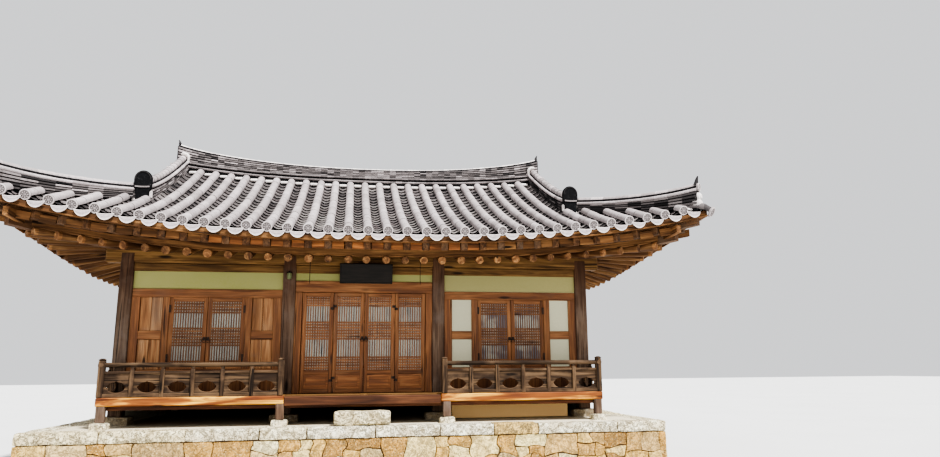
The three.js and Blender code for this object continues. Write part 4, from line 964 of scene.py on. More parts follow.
def lime_cap(piece, x_way, y_way):
    """Lime where a falling ridge meets the main one: a lump over its head and a run down its inner face."""
    top = point(x_way * FALL_X, y_way * 0.16, roof_top(FALL_X, 0.16) + 0.235)
    path, sizes = [], []
    for turn, half, deep in ((115, 0.012, 0.03), (95, 0.03, 0.06), (70, 0.038, 0.07), (45, 0.04, 0.07),
                             (20, 0.036, 0.06), (0, 0.028, 0.05), (-15, 0.022, 0.04), (-30, 0.018, 0.03),
                             (-42, 0.008, 0.015)):
        a = math.radians(turn)
        steep = 0.085 if turn > 0 else 0.17
        path.append(top - X_WAY * x_way * 0.105 * math.cos(a) + UP * steep * math.sin(a))
        sizes.append(circle(1, 12) * [half, deep])
    turns = np.radians(np.linspace(115, -42, len(path)))
    way = [UP * math.sin(a) - X_WAY * x_way * math.cos(a) for a in turns]
    sweep(piece, path, sizes, np.array(way), y_way * Y_WAY, 0.98)


def end_tile(piece, foot, out, width, height, thick=0.06):
    """An upright end tile with a rounded head, a pale line across it and lime beside its foot."""
    side_way = np.cross(UP, out)
    half = width / 2
    head = circle(1, 17, 0, 180) * [half, half * 1.05] + [0, height - half * 1.05]
    right_foot = [(half * 0.72, 0), (half * 0.76, height * 0.3), (half * 0.98, height * 0.42)]
    left_foot = [(-u, z) for u, z in right_foot[::-1]]
    plate(piece, [left_foot[-1], *right_foot, *head, *left_foot[:-1]], foot, side_way, UP, thick, 0.0, 0.06)
    rim = [foot + side_way * u * 0.86 + out * 0.002 + UP * (height * 0.5 + (z - height * 0.5) * 0.9)
           for u, z in head]
    ways = [(side_way * u + UP * (z - height + half)) / math.hypot(u, z - height + half) for u, z in head]
    sweep(piece, rim, circle(0.008, 6), ways, out, 0.22)
    band = np.linspace(-half * 0.8, half * 0.8, 9)
    path = [foot + side_way * u + out * 0.004 + UP * (height * 0.46 + 0.012 * (u / half) ** 2) for u in band]
    sweep(piece, path, rectangle(-0.010, 0.010, -0.012, 0.012), out, UP, 0.55)
    for hand in HAND:
        timber(piece, about(0, 0.03), (-0.04, 0.02), (-0.05, 0.09), "z", 0.028, 0.86, [side_way, out, UP],
               foot + side_way * hand * half * 0.86 - out * 0.05 + UP * height * 0.2)


def hip_ridge(piece, x_way, y_way):
    out = doubled(np.linspace(-0.1, HIP_END, 11))
    share = np.maximum(0, out) / HIP_END
    height = 0.24 + 0.11 * share + 0.05 * share**4
    level = roof_top(COLUMN_X + out, COLUMN_Y + out)
    foot = np.stack([x_way * (COLUMN_X + out), y_way * (COLUMN_Y + out), level], -1)
    side_way, ahead = point(-y_way, x_way, 0) * math.sqrt(0.5), point(x_way, y_way, 0) * math.sqrt(0.5)
    ridge = Ridge(piece, foot, side_way)
    ridge.core(0.075, -0.11, height - 0.06)
    # The right-hand hip ridge's layers are painted a little darker, as shade on the side away from the light
    ridge.layers(-0.04, height - 0.14, 0.105, 5, 0.36 if x_way < 0 else 0.32)
    ridge.half_rounds(height - 0.125, 0.08, 0.028, 0.69)
    ridge.caps(height - 0.062, 0.066, 0.65)
    tip = foot[-1] + UP * height[-1]
    spike(piece, tip - UP * 0.05 - ahead * 0.02, ahead, 0.17)
    end_disc(piece, tip - UP * 0.075 + ahead * 0.015, side_way, UP, ahead, 0.07)
    for lump_level, size in ((0.16, 1.0), (0.04, 1.15)):
        lump = [foot[-1] + UP * lump_level + ahead * a for a in (-0.10, -0.03, 0.03, 0.06)]
        sweep(piece, lump, circle(size * point(0.07, 0.085, 0.07, 0.03), 12), side_way, UP, 0.92)
    corner = point(x_way * CORNER_X, y_way * eave_at(CORNER_X), roof_top(CORNER_X, eave_at(CORNER_X)))
    bends = [(-0.44, 0.03), (-0.24, 0.0), (-0.06, -0.06), (0.03, -0.13)]
    droop = [corner + ahead * a + UP * z for a, z in bends]
    sweep(piece, droop, circle([0.078, 0.082, 0.086, 0.084], 12, -20, 200), side_way, UP, [0.5, 0.4, 0.3],
          closed=False, caps=False)
    end_disc(piece, droop[-1], side_way, UP * 0.86 + ahead * 0.5, ahead * 0.86 - UP * 0.5, 0.09)


def roof():
    for side in SIDES:
        clay = Piece()
        for i in range(-side.last_row, side.last_row + 1):
            round_row(clay, side, i * ROW)
        for at in (np.arange(-side.last_row - 1, side.last_row + 1) + 0.5) * ROW:
            if abs(at) < side.column_at + PAN_END:
                pan_row(clay, side, at)
        clay_bed(clay, side)
        clay.build(side.name + "_tiles", CLAY, side.name + "_roof")
        eaves(side)
    top = Piece()
    main_ridge(top)
    top.build("main_ridge_tiles", CLAY, "main_ridge")
    for y_word, x_way, y_way in (("front", -1, -1), ("front", 1, -1), ("back", 1, 1), ("back", -1, 1)):
        node = "%s_%s_ridge" % (y_word, HAND[x_way])
        ridge = Piece()
        falling_ridge(ridge, x_way, y_way)
        hip_ridge(ridge, x_way, y_way)
        ridge.build(node + "_tiles", CLAY, node)


# Walls: everything is drawn for a wall that faces -Y, and turned for the sides and the back

BAR = {"pitch": 0.04, "thin": 0.015, "thick": 0.022, "row": 0.045, "edge": 0.014}
STILE = 0.058
WINDOW_BANDS = [(2.52, 2.80), (1.985, 2.262), (1.6, 1.728)]  # where a leaf's bars are crossed
DOOR_BANDS = [(2.65, 2.90), (2.088, 2.367), (1.5, 1.78)]
DOOR_PANEL = (1.262, 1.5)
DOOR_LATTICE = (1.56, 2.808)
DOOR_HALF = 1.045  # two leaves
BAY_HALF = 1.3
WINDOW_HALF = 0.6  # of the windows on the front and the back
SIDE_WINDOW_HALF = 0.45
SIDE_WINDOW_Y = 1.325  # in the front bay of each side
WINDOW_POST = 0.11


def lattice(wooden, paper_piece, x, z, bands, face, shade):
    """Thin bars in a leaf: uprights all the way, in the given bands thicker and crossed; paper behind."""

    def bar(x, z, front, back, along, tone):
        timber(wooden, x, (face + front, face + back), z, along, 0.001, tone)

    count = max(2, round((x[1] - x[0]) / BAR["pitch"]))
    crossed = [(max(low, z[0]), min(high, z[1])) for low, high in bands]
    for at in np.linspace(*x, count + 1)[1:-1]:
        bar(about(at, BAR["thin"] / 2), z, 0.008, 0.022, "z", shade * rng.uniform(0.3, 0.6))
        for band in crossed:
            bar(about(at, BAR["thick"] / 2), band, 0.007, 0.021, "z", shade * rng.uniform(0.5, 0.8))
    for low, high in crossed:
        for at in np.linspace(low, high, max(2, round((high - low) / BAR["row"])) + 1):
            if z[0] + 0.01 < at < z[1] - 0.01:
                bar(x, about(at, BAR["thick"] / 2), 0.006, 0.018, "x", shade * rng.uniform(0.5, 0.85))
    for span in ends(x, BAR["edge"]):
        bar(span, z, 0.005, 0.03, "z", 0.5)
    for span in ends(z, BAR["edge"]):
        bar(x, span, 0.005, 0.03, "x", 0.5)
    timber(paper_piece, x, (face + 0.022, face + 0.026), z, "z", 0.001, 0.5)


def leaf(wooden, paper_piece, x, z, face, bands, panel=None, lattice_z=None, shade=1.0):
    """A door or window leaf: stiles, rails, lattice over paper, and a wooden panel at the foot of a door."""
    depth = (face, face + 0.04)
    for span in ends(x, STILE):
        timber(wooden, span, depth, z, "z", 0.004)
    x = about(sum(x) / 2, (x[1] - x[0]) / 2 - STILE + 0.001)
    lattice_z = lattice_z or (z[0] + STILE, z[1] - STILE)
    rails = [(panel[1], lattice_z[0]), (z[0], panel[0])] if panel else [(z[0], lattice_z[0])]
    for rail in [(lattice_z[1], z[1]), *rails]:
        timber(wooden, x, depth, rail, "x", 0.003)
    if panel:
        # The foot panel takes the top tone: painted light, lighter than the leaf as if lit below the eave's
        # shade
        timber(wooden, x, (face + 0.014, face + 0.03), panel, "x", 0.001, 1.0)
        raised = [(span[0] + 0.035, span[1] - 0.035) for span in (x, panel)]
        timber(wooden, raised[0], (face + 0.007, face + 0.02), raised[1], "x", 0.006, 1.0)
    lattice(wooden, paper_piece, x, lattice_z, bands, face, shade)


def window_pair(name, turn, middle, half, reach, cover=PAPER):
    wooden, paper_piece = Piece(turn), Piece(turn)
    z = (WINDOW_FOOT + GAP, WINDOW_HEAD - GAP)
    face = -reach - FACE + 0.015
    for hand in HAND:
        # shade=0.3 paints the window bars darker, as painted shade
        leaf(wooden, paper_piece, handed(hand, 0.003, half - GAP, middle), z, face, WINDOW_BANDS, shade=0.3)
    wooden.build(name + "_leaves", RED_WOOD, name + "_window")
    paper_piece.build(name + "_paper", cover)


def clear_between(a, b):
    return a + COLUMN / 2 + GAP, b - COLUMN / 2 - GAP


def ring_handle(piece, x, face, z, radius=0.032):
    """A square plate with a ring hanging from it."""
    timber(piece, about(x, 0.022), (face - 0.004, face), about(z, 0.03), "z", 0.002, 0.5)
    ways = np.array([[math.cos(a), 0, math.sin(a)] for a in np.radians(np.linspace(0, 360, 19))])
    path = point(x, face - 0.014, z - radius * 0.9) + radius * ways
    sweep(piece, path, circle(0.0045, 6), ways, Y_WAY, 0.5, caps=False)
    timber(piece, about(x, 0.007), (face - 0.016, face), about(z, 0.007), "y", 0.002, 0.5)


def side_bay(hand):
    """A front bay beside the doors: wooden panels on the left, plaster fields on the right."""
    middle = hand * (COLUMN_X + INNER_X) / 2
    clear = clear_between(middle - BAY_HALF, middle + BAY_HALF)
    name = "front_" + HAND[hand]
    panelled = hand < 0
    framing, boards, metal = Piece(), Piece(), Piece()
    depth = (FRONT, FRONT + (FRAME_DEEP if panelled else WALL_RAIL_DEEP))
    timber(framing, clear, about(-COLUMN_Y, COLUMN / 2), (SILL_BOTTOM, FLOOR_TOP), "x", 0.006)
    timber(framing, clear, (FRONT - 0.004, FRONT + FRAME_DEEP), (WINDOW_FOOT - SILL_THICK, WINDOW_FOOT), "x")
    timber(framing, clear, depth, (WINDOW_HEAD, LINTEL_TOP), "x", 0.006, 0.5)
    timber(framing, clear, (FRONT + 0.01, FRONT + WALL_RAIL_DEEP), (FLOOR_TOP, FLOOR_TOP + FOOT_RAIL), "x")
    joints = np.linspace(*clear, 9)
    # The boards under the window take low tones: painted shade, where the railing shades them
    for a, b in zip(joints, joints[1:]):
        timber(framing, (a, b - 0.003), (FRONT + 0.02, FRONT + 0.06),
               (FLOOR_TOP + FOOT_RAIL, WINDOW_FOOT - SILL_THICK), "z", 0.003, rng.uniform(0.0, 0.3))
    edge = clear[1] - middle
    post, field_end = edge - 0.135, edge - 0.485
    for side in HAND:
        timber(framing, handed(side, edge, post, middle), depth, (FLOOR_TOP + FOOT_RAIL, WINDOW_HEAD), "z",
               0.005)
        timber(framing, handed(side, WINDOW_HALF, field_end, middle), (FRONT - 0.003, FRONT + FRAME_DEEP),
               (WINDOW_FOOT, WINDOW_HEAD), "z", 0.005)
        field = handed(side, post, field_end, middle)
        timber(framing, field, (FRONT + 0.002, FRONT + WALL_RAIL_DEEP), WALL_RAIL, "x")
        for z in ((WINDOW_FOOT, WALL_RAIL[0]), (WALL_RAIL[1], WINDOW_HEAD)) if panelled else ():
            for x in ends(field, (field[1] - field[0]) / 2):
                # The boards below the wall rail are painted 0.2 lighter, as lit below the eave's shade
                tone = rng.uniform(0.5, 0.8) + (0.2 if z[0] == WINDOW_FOOT else 0.0)
                timber(boards, (x[0] + 0.002, x[1] - 0.002), (FRONT + 0.03, FRONT + 0.065), z, "z",
                       0.004, tone)
    framing.build(name + "_bay_frame", RED_WOOD, name + "_frame")
    if panelled:
        boards.build(name + "_bay_boards", PANEL_WOOD)
    window_pair(name, 0.0, middle, WINDOW_HALF, COLUMN_Y, PAPER if panelled else DUSTY_PAPER)
    face = FRONT + 0.015
    for x in (middle + 0.03, middle - 0.03):
        ring_handle(metal, x, face, 2.09)
    for side in HAND:
        for z in (1.78, 2.58):
            timber(metal, about(middle + side * 0.59, 0.015), (face - 0.022, face - 0.016), about(z, 0.06),
                   "z", 0.002, 0.5)
    metal.build(name + "_window_metal", IRON)


def middle_bay():
    clear = clear_between(-INNER_X, INNER_X)
    depth = (FRONT, FRONT + FRAME_DEEP)
    framing = Piece()
    timber(framing, clear, about(-COLUMN_Y, COLUMN / 2), (SILL_BOTTOM, FLOOR_TOP), "x", 0.006)
    timber(framing, clear, depth, (DOOR_HEAD, DOOR_LINTEL_TOP), "x", 0.006, 0.55)
    for side in HAND:
        timber(framing, handed(side, 1.051, clear[1]), depth, (FLOOR_TOP, DOOR_HEAD), "z", 0.006)
    framing.build("front_middle_bay_frame", RED_WOOD, "front_middle_frame")
    step, gap = DOOR_HALF / 2, 0.006
    z = (FLOOR_TOP + gap, DOOR_HEAD - gap)
    for side, word in HAND.items():
        moving_body = word + "_door_leaf"
        for place, node, body in ((1, "door_outer_" + word, HOUSE), (0, "door_centre_" + word, moving_body)):
            wooden, paper_piece = Piece(), Piece()
            x = handed(side, place * step + gap / 2, (place + 1) * step - gap / 2)
            leaf(wooden, paper_piece, x, z, FRONT, DOOR_BANDS, DOOR_PANEL, DOOR_LATTICE)
            wooden.build(node + "_wood", RED_WOOD, node, body=body)
            paper_piece.build(node + "_paper", PAPER, body=body)
        moving, fixed = Piece(), Piece()
        for level in (1.42, 2.62):
            for piece, hand, low in ((moving, -side, level), (fixed, side, level - 0.04 - GAP)):
                axis = point(side * step, FRONT - 0.012, low)
                sweep(piece, [axis, axis + UP * 0.04], circle(0.009, 10), X_WAY, Y_WAY, 0.5)
                timber(piece, handed(hand, 0, 0.05, axis[0]), (FRONT - 0.006, FRONT), (low, low + 0.04), "x",
                       0.001, 0.5)
        ring_handle(moving, side * 0.033, FRONT, 2.10, 0.028)
        moving.build("door_centre_" + word + "_metal", IRON, body=moving_body)
        fixed.build("door_outer_" + word + "_metal", IRON)


def columns_and_beams():
    for i, (x, less) in enumerate(zip(COLUMNS, (0.25, 0.0, 0.05, 0.1))):
        piece = Piece()
        name = "front_column_%d" % (i + 1)
        timber(piece, about(x, COLUMN / 2), about(-COLUMN_Y, COLUMN / 2), (PAD_TOP, COLUMN_TOP), "z", 0.012,
               rng.uniform(0.42, 0.6) - less)
        piece.build(name + "_timber", GREY_WOOD, name)
    beams = Piece()
    head_beams(beams, COLUMN_X + 0.35, COLUMN_Y, COLUMNS)
    beams.build("front_beams", GOLD_WOOD, "front_beam")


def head_beams(piece, end, reach, columns):
    """The tie beam between the column heads, and the purlin that lies on it past the corners."""
    for a, b in zip(columns, columns[1:]):
        timber(piece, (a + COLUMN / 2 - 0.01, b - COLUMN / 2 + 0.01), about(-reach, 0.075),
               (TIE_BOTTOM, TIE_TOP - 0.004), "x", 0.008)
    timber(piece, (-end, end), about(-reach, 0.1), (TIE_TOP + 0.002, PURLIN_TOP), "x", 0.02, 0.5)


def plain_wall(name, turn, reach, columns, own, end, window_x, half):
    """A side or back wall, with the columns that are its own and one window in a bay."""
    timbers, posts, beams = Piece(turn), Piece(turn), Piece(turn)
    out = -reach - FACE
    depth = (out, out + WALL_RAIL_DEEP)
    for x in own:
        timber(posts, about(x, COLUMN / 2), about(-reach, COLUMN / 2), (PAD_TOP, COLUMN_TOP), "z", 0.012)
    head_beams(beams, end, reach, columns)
    posts.build(name + "_columns", GREY_WOOD, name + "_frame")
    beams.build(name + "_beams", GOLD_WOOD)
    opening = about(window_x, half + WINDOW_POST)
    for a, b in zip(columns, columns[1:]):
        clear = clear_between(a, b)
        has_window = a < window_x < b
        for z in ((SILL_BOTTOM, FLOOR_TOP), WALL_RAIL, (WINDOW_HEAD, LINTEL_TOP)):
            cut = has_window and z == WALL_RAIL
            for x in ((clear[0], opening[0]), (opening[1], clear[1])) if cut else (clear,):
                timber(timbers, x, depth, z, "x")
        if has_window:
            for x in ends(opening, WINDOW_POST):
                timber(timbers, x, (out - 0.003, out + 0.067), (FLOOR_TOP, WINDOW_HEAD), "z")
            timber(timbers, opening, (out - 0.006, out + WALL_RAIL_DEEP),
                   (WINDOW_FOOT - SILL_THICK, WINDOW_FOOT), "x")
    timbers.build(name + "_wall_timbers", RED_WOOD)
    window_pair(name, turn, window_x, half, reach)


# Porch and railings

RAIL_Y = -3.505
RAIL_POST_X = (1.28, PORCH_X - 0.045)
RAILS = [(0.035, (FLOOR_TOP + GAP, 1.25)), (0.025, (1.538, 1.578))]  # half width and levels
HAND_RAIL = {"level": 1.668, "radius": 0.035, "past": 0.05}
RAIL_BOARD = {"level": 1.396, "height": 0.296, "thick": 0.022, "count": 6}
SMALL_POST = {"half": 0.031, "top": 1.6}
COLUMN_FACE = -COLUMN_Y - COLUMN / 2 - GAP
PORCH_FRONT = (-PORCH_Y, -PORCH_Y + 0.1)
PORCH_POSTS = (-3.84, -1.275, 1.315, 3.84)
PORCH_MIDDLE = 1.22  # half the length of the lower beam in the middle


def cusped(width, height):
    """Outline of an opening with a foot like a bowl, pointed ends and a head that steps up to a peak."""
    half = [(0.0, 0.0), (0.25, 0.015), (0.5, 0.07), (0.72, 0.17), (0.88, 0.32), (1.0, 0.50), (0.93, 0.58),
            (0.84, 0.62), (0.76, 0.74), (0.60, 0.86), (0.36, 0.93), (0.16, 0.95), (0.0, 1.04)]
    whole = half + [(-x, z) for x, z in half[-2:0:-1]]
    return np.array([(x * width / 2, (z - 0.5) * height) for x, z in whole])


def pierced_board(piece, origin, side_way, out, width, tone):
    """A thin board with a cusped opening near its foot, whose rim carries a painted highlight."""
    half = point(width, RAIL_BOARD["height"]) / 2
    deep = RAIL_BOARD["thick"] / 2
    hole = cusped(width * 0.74, RAIL_BOARD["height"] * 0.54) - [0, RAIL_BOARD["height"] * 0.18]
    angle = np.arctan2(hole[:, 1], hole[:, 0])
    way = np.stack([np.cos(angle), np.sin(angle)], -1)
    outer = way * np.min(half / np.maximum(np.abs(way), 1e-6), axis=1, keepdims=True)
    for corner in ((1, 1), (-1, 1), (-1, -1), (1, -1)):
        outer[np.argmin(np.linalg.norm(outer - corner * half, axis=1))] = corner * half
    rings = [(outer, deep), (hole * 1.07, deep), (hole, deep - 0.004), (hole, -deep), (outer, -deep)]
    points = [origin + loop[:, :1] * side_way + loop[:, 1:] * UP + out * depth for loop, depth in rings]
    faces = grid_faces(len(rings), len(hole), True)
    if np.dot(np.cross(side_way, UP), out) > 0:
        faces = faces[:, ::-1]
    grain = [np.insert(loop, 2, depth, axis=1) for loop, depth in rings]
    # The bevelled rim (tone 1.0) and the opening's inner wall (0.7) carry painted highlights
    piece.add(points, [faces], np.repeat([tone, 1.0, 0.7, tone], len(hole)), grain)


def small_post(piece, x, y, out, y_span):
    """A post between two boards, with the short curved head that carries the hand rail."""
    timber(piece, about(x, SMALL_POST["half"]), y_span, (FLOOR_TOP + GAP, SMALL_POST["top"]), "z", 0.006)
    path = point(x, y, SMALL_POST["top"]) + UP * np.array([[0.0], [0.012], [0.024], [0.04]])
    half = point(0.024, 0.018, 0.024, 0.036)
    sweep(piece, path, rectangle(-half, half, -0.02, 0.02), np.cross(UP, out), out, 0.6)


def railing(side):
    """Rails, posts and pierced boards along the front of a side bay, and a return to the corner column."""
    piece = Piece()
    y, level = RAIL_Y, HAND_RAIL["level"]
    inner, outer = RAIL_POST_X
    corner = side * outer
    run = handed(side, inner, outer)
    for half, z in RAILS:
        timber(piece, run, about(y, half), z, "x", 0.006)
    for half, z in RAILS:
        timber(piece, about(corner, half), (y, COLUMN_FACE), z, "y", 0.006)
    past = HAND_RAIL["past"]
    for start, end, way in (((run[0] - past, y), (run[1] + past, y), Y_WAY),
                            ((corner, y - past), (corner, COLUMN_FACE), X_WAY)):
        sweep(piece, [(*start, level), (*end, level)], circle(HAND_RAIL["radius"]), way, UP, 0.12)
    cap = point(0.04, 0.046, 0.02)
    for x in (side * inner, corner):
        timber(piece, about(x, 0.045), about(y, 0.045), (FLOOR_TOP + GAP, 1.735), "z", 0.012, 0.4)
        path = [(x, y, z) for z in (1.735, 1.745, 1.765)]
        sweep(piece, path, rectangle(-cap, cap, -cap, cap), X_WAY, Y_WAY, 0.6)
    joints = np.linspace(inner, outer, RAIL_BOARD["count"] + 1)
    board_level = RAIL_BOARD["level"]
    for a, b in zip(joints, joints[1:]):
        pierced_board(piece, point(side * (a + b) / 2, y, board_level), X_WAY, -Y_WAY,
                      b - a - 2 * SMALL_POST["half"], rng.uniform(0.3, 0.5))
        if a > inner:
            small_post(piece, side * a, y, -Y_WAY, (y - 0.04, y + 0.03))
    half = (COLUMN_FACE - y - 0.03) / 2
    start = y + 0.045
    for k in (0.5, 1.5):
        pierced_board(piece, point(corner, start + half * k, board_level), Y_WAY, side * X_WAY, half - 0.05,
                      0.4)
    small_post(piece, corner, start + half, side * X_WAY, about(start + half, SMALL_POST["half"]))
    piece.build(HAND[side] + "_railing_timbers", RAIL_WOOD, HAND[side] + "_railing")


def porch():
    beams, middle, inner, boards, posts = (Piece() for _ in range(5))
    face, behind = PORCH_FRONT
    for side in HAND:
        timber(beams, handed(side, PORCH_MIDDLE, PORCH_X), PORCH_FRONT, (1.065, FLOOR_TOP), "x", 0.012, 0.75)
    # The middle beam and the inner beams are painted into shade: the darker copy of the red wood, at low
    # tones
    timber(middle, about(0, PORCH_MIDDLE), (face + 0.002, behind), (1.035, 1.175), "x", 0.012, 0.1)
    middle.build("porch_middle_beam", SHADED_RED_WOOD)
    z = (1.0, FLOOR_TOP - FLOOR_THICK - GAP)
    timber(inner, about(0, 3.9), (behind, -3.32), z, "x", 0.006, 0.2)
    for x in (-3.855, -INNER_X, INNER_X, 3.855):
        timber(inner, about(x, 0.06), (-3.33, COLUMN_FACE), z, "y", 0.006, 0.2)
    inner.build("porch_inner_beams", SHADED_RED_WOOD)
    beams.build("porch_beams", BEAM_WOOD, "porch_frame")
    crossings = [-PORCH_X, -2.6, -INNER_X, 0.0, INNER_X, 2.6, PORCH_X]
    for x in crossings:
        timber(boards, np.clip(about(x, 0.06), -PORCH_X, PORCH_X), (behind + GAP, COLUMN_FACE),
               (FLOOR_TOP - FLOOR_THICK, FLOOR_TOP), "y", 0.002)
    rows = np.linspace(behind + GAP, COLUMN_FACE, 7)
    for a, b in zip(crossings, crossings[1:]):
        for near, far in zip(rows, rows[1:]):
            timber(boards, (a + 0.062, b - 0.062), (near + 0.0015, far - 0.0015),
                   (FLOOR_TOP - FLOOR_THICK, FLOOR_TOP - 0.001), "x", 0.003)
    boards.build("porch_boards", GOLD_WOOD, "porch_floor")
    for x in PORCH_POSTS:
        # The two middle posts are painted lighter, as sunlit
        timber(posts, about(x, 0.0625), (face + 0.005, behind - 0.005), (0.83 + GAP, 1.075), "z", 0.008,
               0.7 if abs(x) < 2 else 0.4)
    posts.build("porch_posts", GREY_WOOD)


# Platform

HALF_X, HALF_Y = 4.78, 4.03
COPING_DEEP = 0.34


def split(x0, x1, z0, z1, found):
    """Divides a wall face into squared stones of mixed sizes."""
    wide, tall = x1 - x0, z1 - z0
    if wide > 0.68 or (wide > 0.42 and wide > tall * 1.7 and rng.random() < 0.8):
        at = x0 + wide * rng.uniform(0.36, 0.64)
        split(x0, at, z0, z1, found)
        split(at, x1, z0, z1, found)
    elif tall > 0.33:
        at = z0 + tall * rng.uniform(0.4, 0.6)
        split(x0, x1, z0, at, found)
        split(x0, x1, at, z1, found)
    else:
        found.append((x0, x1, z0, z1))


def rubble_wall(walls, reach, half):
    x, joint = -half, 0.004
    while x < half - 0.01:
        wide = min(rng.uniform(0.9, 1.5), half - x)
        found = []
        split(x, x + wide, 0.0, COPING_FOOT, found)
        for x0, x1, z0, z1 in found:
            y = (-reach + rng.uniform(0.002, 0.014), -reach + 0.12)
            stone(walls, (x0 + joint, x1 - joint), y, (z0 + joint / 2, z1 - joint), rng.random(), 6, 0.014,
                  0.010, (half, COPING_FOOT, 0.09))
        x += wide


def coping(slabs, reach, last):
    x = -last
    while x < last - 0.01:
        wide = min(rng.uniform(0.65, 1.35), last - x)
        if last - x - wide < 0.4:
            wide = last - x
        top = PLATFORM_TOP - rng.uniform(0, 0.012)
        y = (-reach + rng.uniform(0, 0.008), -reach + COPING_DEEP)
        stone(slabs, (x + 0.004, x + wide - 0.004), y, (COPING_FOOT + 0.003, top),
              rng.choice((0.0, 0.5, 0.7, 0.8, 0.9, 1.0)), 8, 0.018, 0.014)
        x += wide


def platform():
    """Rough squared stones with open joints under long coping stones, and a beaten floor on top."""
    core, walls, slabs, ground, pads, low_pads, step = (Piece() for _ in range(7))
    timber(core, about(0, HALF_X - 0.035), about(0, HALF_Y - 0.035), (0.0, 0.7), "x", 0.01, 0.3)
    for turn, reach, half in ((0, HALF_Y, HALF_X), (math.pi, HALF_Y, HALF_X), (math.pi / 2, HALF_X, HALF_Y),
                              (-math.pi / 2, HALF_X, HALF_Y)):
        walls.turn = slabs.turn = turn
        rubble_wall(walls, reach, half)
        coping(slabs, reach, half if half == HALF_X else half - COPING_DEEP)
    timber(ground, about(0, HALF_X - 0.33), about(0, HALF_Y - 0.33), (0.6, PLATFORM_TOP - 0.012), "x", 0.01,
           0.5)
    spots = [(x, y, 0.23, 0.18) for x in COLUMNS for y in (-COLUMN_Y, COLUMN_Y)]
    for x, y, wide, deep in spots + [(-COLUMN_X, 0, 0.18, 0.23), (COLUMN_X, 0, 0.18, 0.23)]:
        stone(pads, about(x, wide), about(y, deep), (0.70, PAD_TOP), rng.random(), 6, 0.03, 0.008)
    for x in PORCH_POSTS:
        stone(low_pads, about(x, 0.12), about(-PORCH_Y + 0.05, 0.11), (0.70, 0.83), rng.uniform(0.5, 1), 5,
              0.025, 0.008)
    walls.build("platform_rubble", RUBBLE)
    slabs.build("platform_coping", COPING, "stone_platform")
    core.build("platform_joints", JOINT)
    ground.build("platform_ground", EARTH)
    pads.build("column_stones", SHADED_PAD_STONE)
    low_pads.build("post_stones", COPING)
    stone(step, (-0.45, 0.41), (-3.83, -3.5), (PLATFORM_TOP - 0.005, 0.95), 0.6, 10, 0.035, 0.012)
    step.build("stepping_stone_block", COPING, "stepping_stone")


# Small things on the front, and the gables

def name_board():
    """A bare board that leans out over the doors, in a raised frame."""
    piece = Piece()
    x, z, rim = (-0.435, 0.46), (3.033, 3.358), 0.022
    lean = math.atan2(0.11, z[1] - z[0])
    up = point(0, -math.sin(lean), math.cos(lean))
    foot = point(sum(x) / 2, -COLUMN_Y - 0.115, z[0] + 0.003)
    across, upright = about(0, (x[1] - x[0]) / 2), (0, (z[1] - z[0]) / math.cos(lean))
    basis = [X_WAY, -np.cross(X_WAY, up), up]
    timber(piece, across, (-0.03, 0.0), upright, "x", 0.004, 0.4, basis, foot)
    for span in ends(upright, rim):
        timber(piece, across, (-0.037, -0.02), span, "x", 0.003, 0.9, basis, foot)
    for span in ends(across, rim):
        timber(piece, span, (-0.037, -0.02), upright, "z", 0.003, 0.9, basis, foot)
    piece.build("name_board_panel", BLACK, "name_board")


def fittings():
    """Iron hooks that hold the lifted doors, and the small lamp on a column."""
    metal, lamp, glass = Piece(), Piece(), Piece()
    y, foot, bend = -COLUMN_Y - 0.30, 3.06, 0.03
    turns = np.radians(np.linspace(0, 200, 9))
    for x in (-0.93, 0.93):
        sweep(metal, [(x, y, 3.50), (x, y, foot)], circle(0.005, 6), X_WAY, Y_WAY, 0.5)
        hook = [(x, y - bend * math.sin(a), foot - bend + bend * math.cos(a)) for a in turns]
        sweep(metal, hook, circle(0.005, 6), X_WAY, (0, 0.7, 0.7), 0.5)
    metal.build("lift_hooks", IRON)
    centre = point(-INNER_X, -COLUMN_Y - COLUMN / 2 - 0.05, 3.14)
    profile = [(-0.06, 0.012), (-0.05, 0.035), (0.0, 0.042), (0.045, 0.036), (0.06, 0.05), (0.07, 0.02),
               (0.085, 0.004)]
    for piece, part in ((glass, profile[:4]), (lamp, profile[3:])):
        levels, radii = np.array(part).T
        sweep(piece, centre + UP * levels[:, None], circle(radii, 16), X_WAY, Y_WAY, 0.7)
    glass.build("porch_lamp_glass", LAMP_GLASS)
    timber(lamp, about(centre[0], 0.012), (centre[1], centre[1] + 0.055),
           (centre[2] + 0.05, centre[2] + 0.075), "y", 0.003, 0.5)
    lamp.build("porch_lamp", IRON)


GABLE_FACE = 3.39
EDGE_TILE = {"start": 3.83, "end": 3.945, "pitch": 0.27, "count": 9}


def gable(hand, word):
    """Tiles set in the plaster of a gable, and the short tiles along the roof's edge over it."""
    piece = Piece()
    face, out, side_way = hand * GABLE_FACE, hand * X_WAY, hand * Y_WAY
    foot = roof_top(0, GABLE_FACE - (BARGE_X - FOOT_Y))
    for level, half in ((0.28, 0.95), (0.55, 0.55)):
        joints = np.linspace(-half, half, 6)
        for a, b in zip(joints, joints[1:]):
            beam_between(piece, (face, a + 0.01, foot + level), (face, b - 0.01, foot + level), 0.05, 0.022,
                         0.25)
    end_disc(piece, point(face + hand * 0.005, 0.0, foot + 0.72), side_way, UP, out, 0.075)
    for y_way in (-1, 1):
        for y in y_way * (0.20 + EDGE_TILE["pitch"] * np.arange(EDGE_TILE["count"])):
            start = point(hand * EDGE_TILE["start"], y, roof_top(BARGE_X, abs(y)) + 0.045)
            end = point(hand * EDGE_TILE["end"], y, start[2])
            sweep(piece, [start, end], circle(0.062, 12, -20, 200), side_way, UP, closed=False, caps=False)
            end_disc(piece, end, side_way, UP, out, 0.066)
            between = y + y_way * EDGE_TILE["pitch"] / 2
            crescent(piece, point(end[0], between, roof_top(BARGE_X, abs(between)) + 0.055), side_way, out)
    piece.build(word + "_gable_tiles", CLAY)


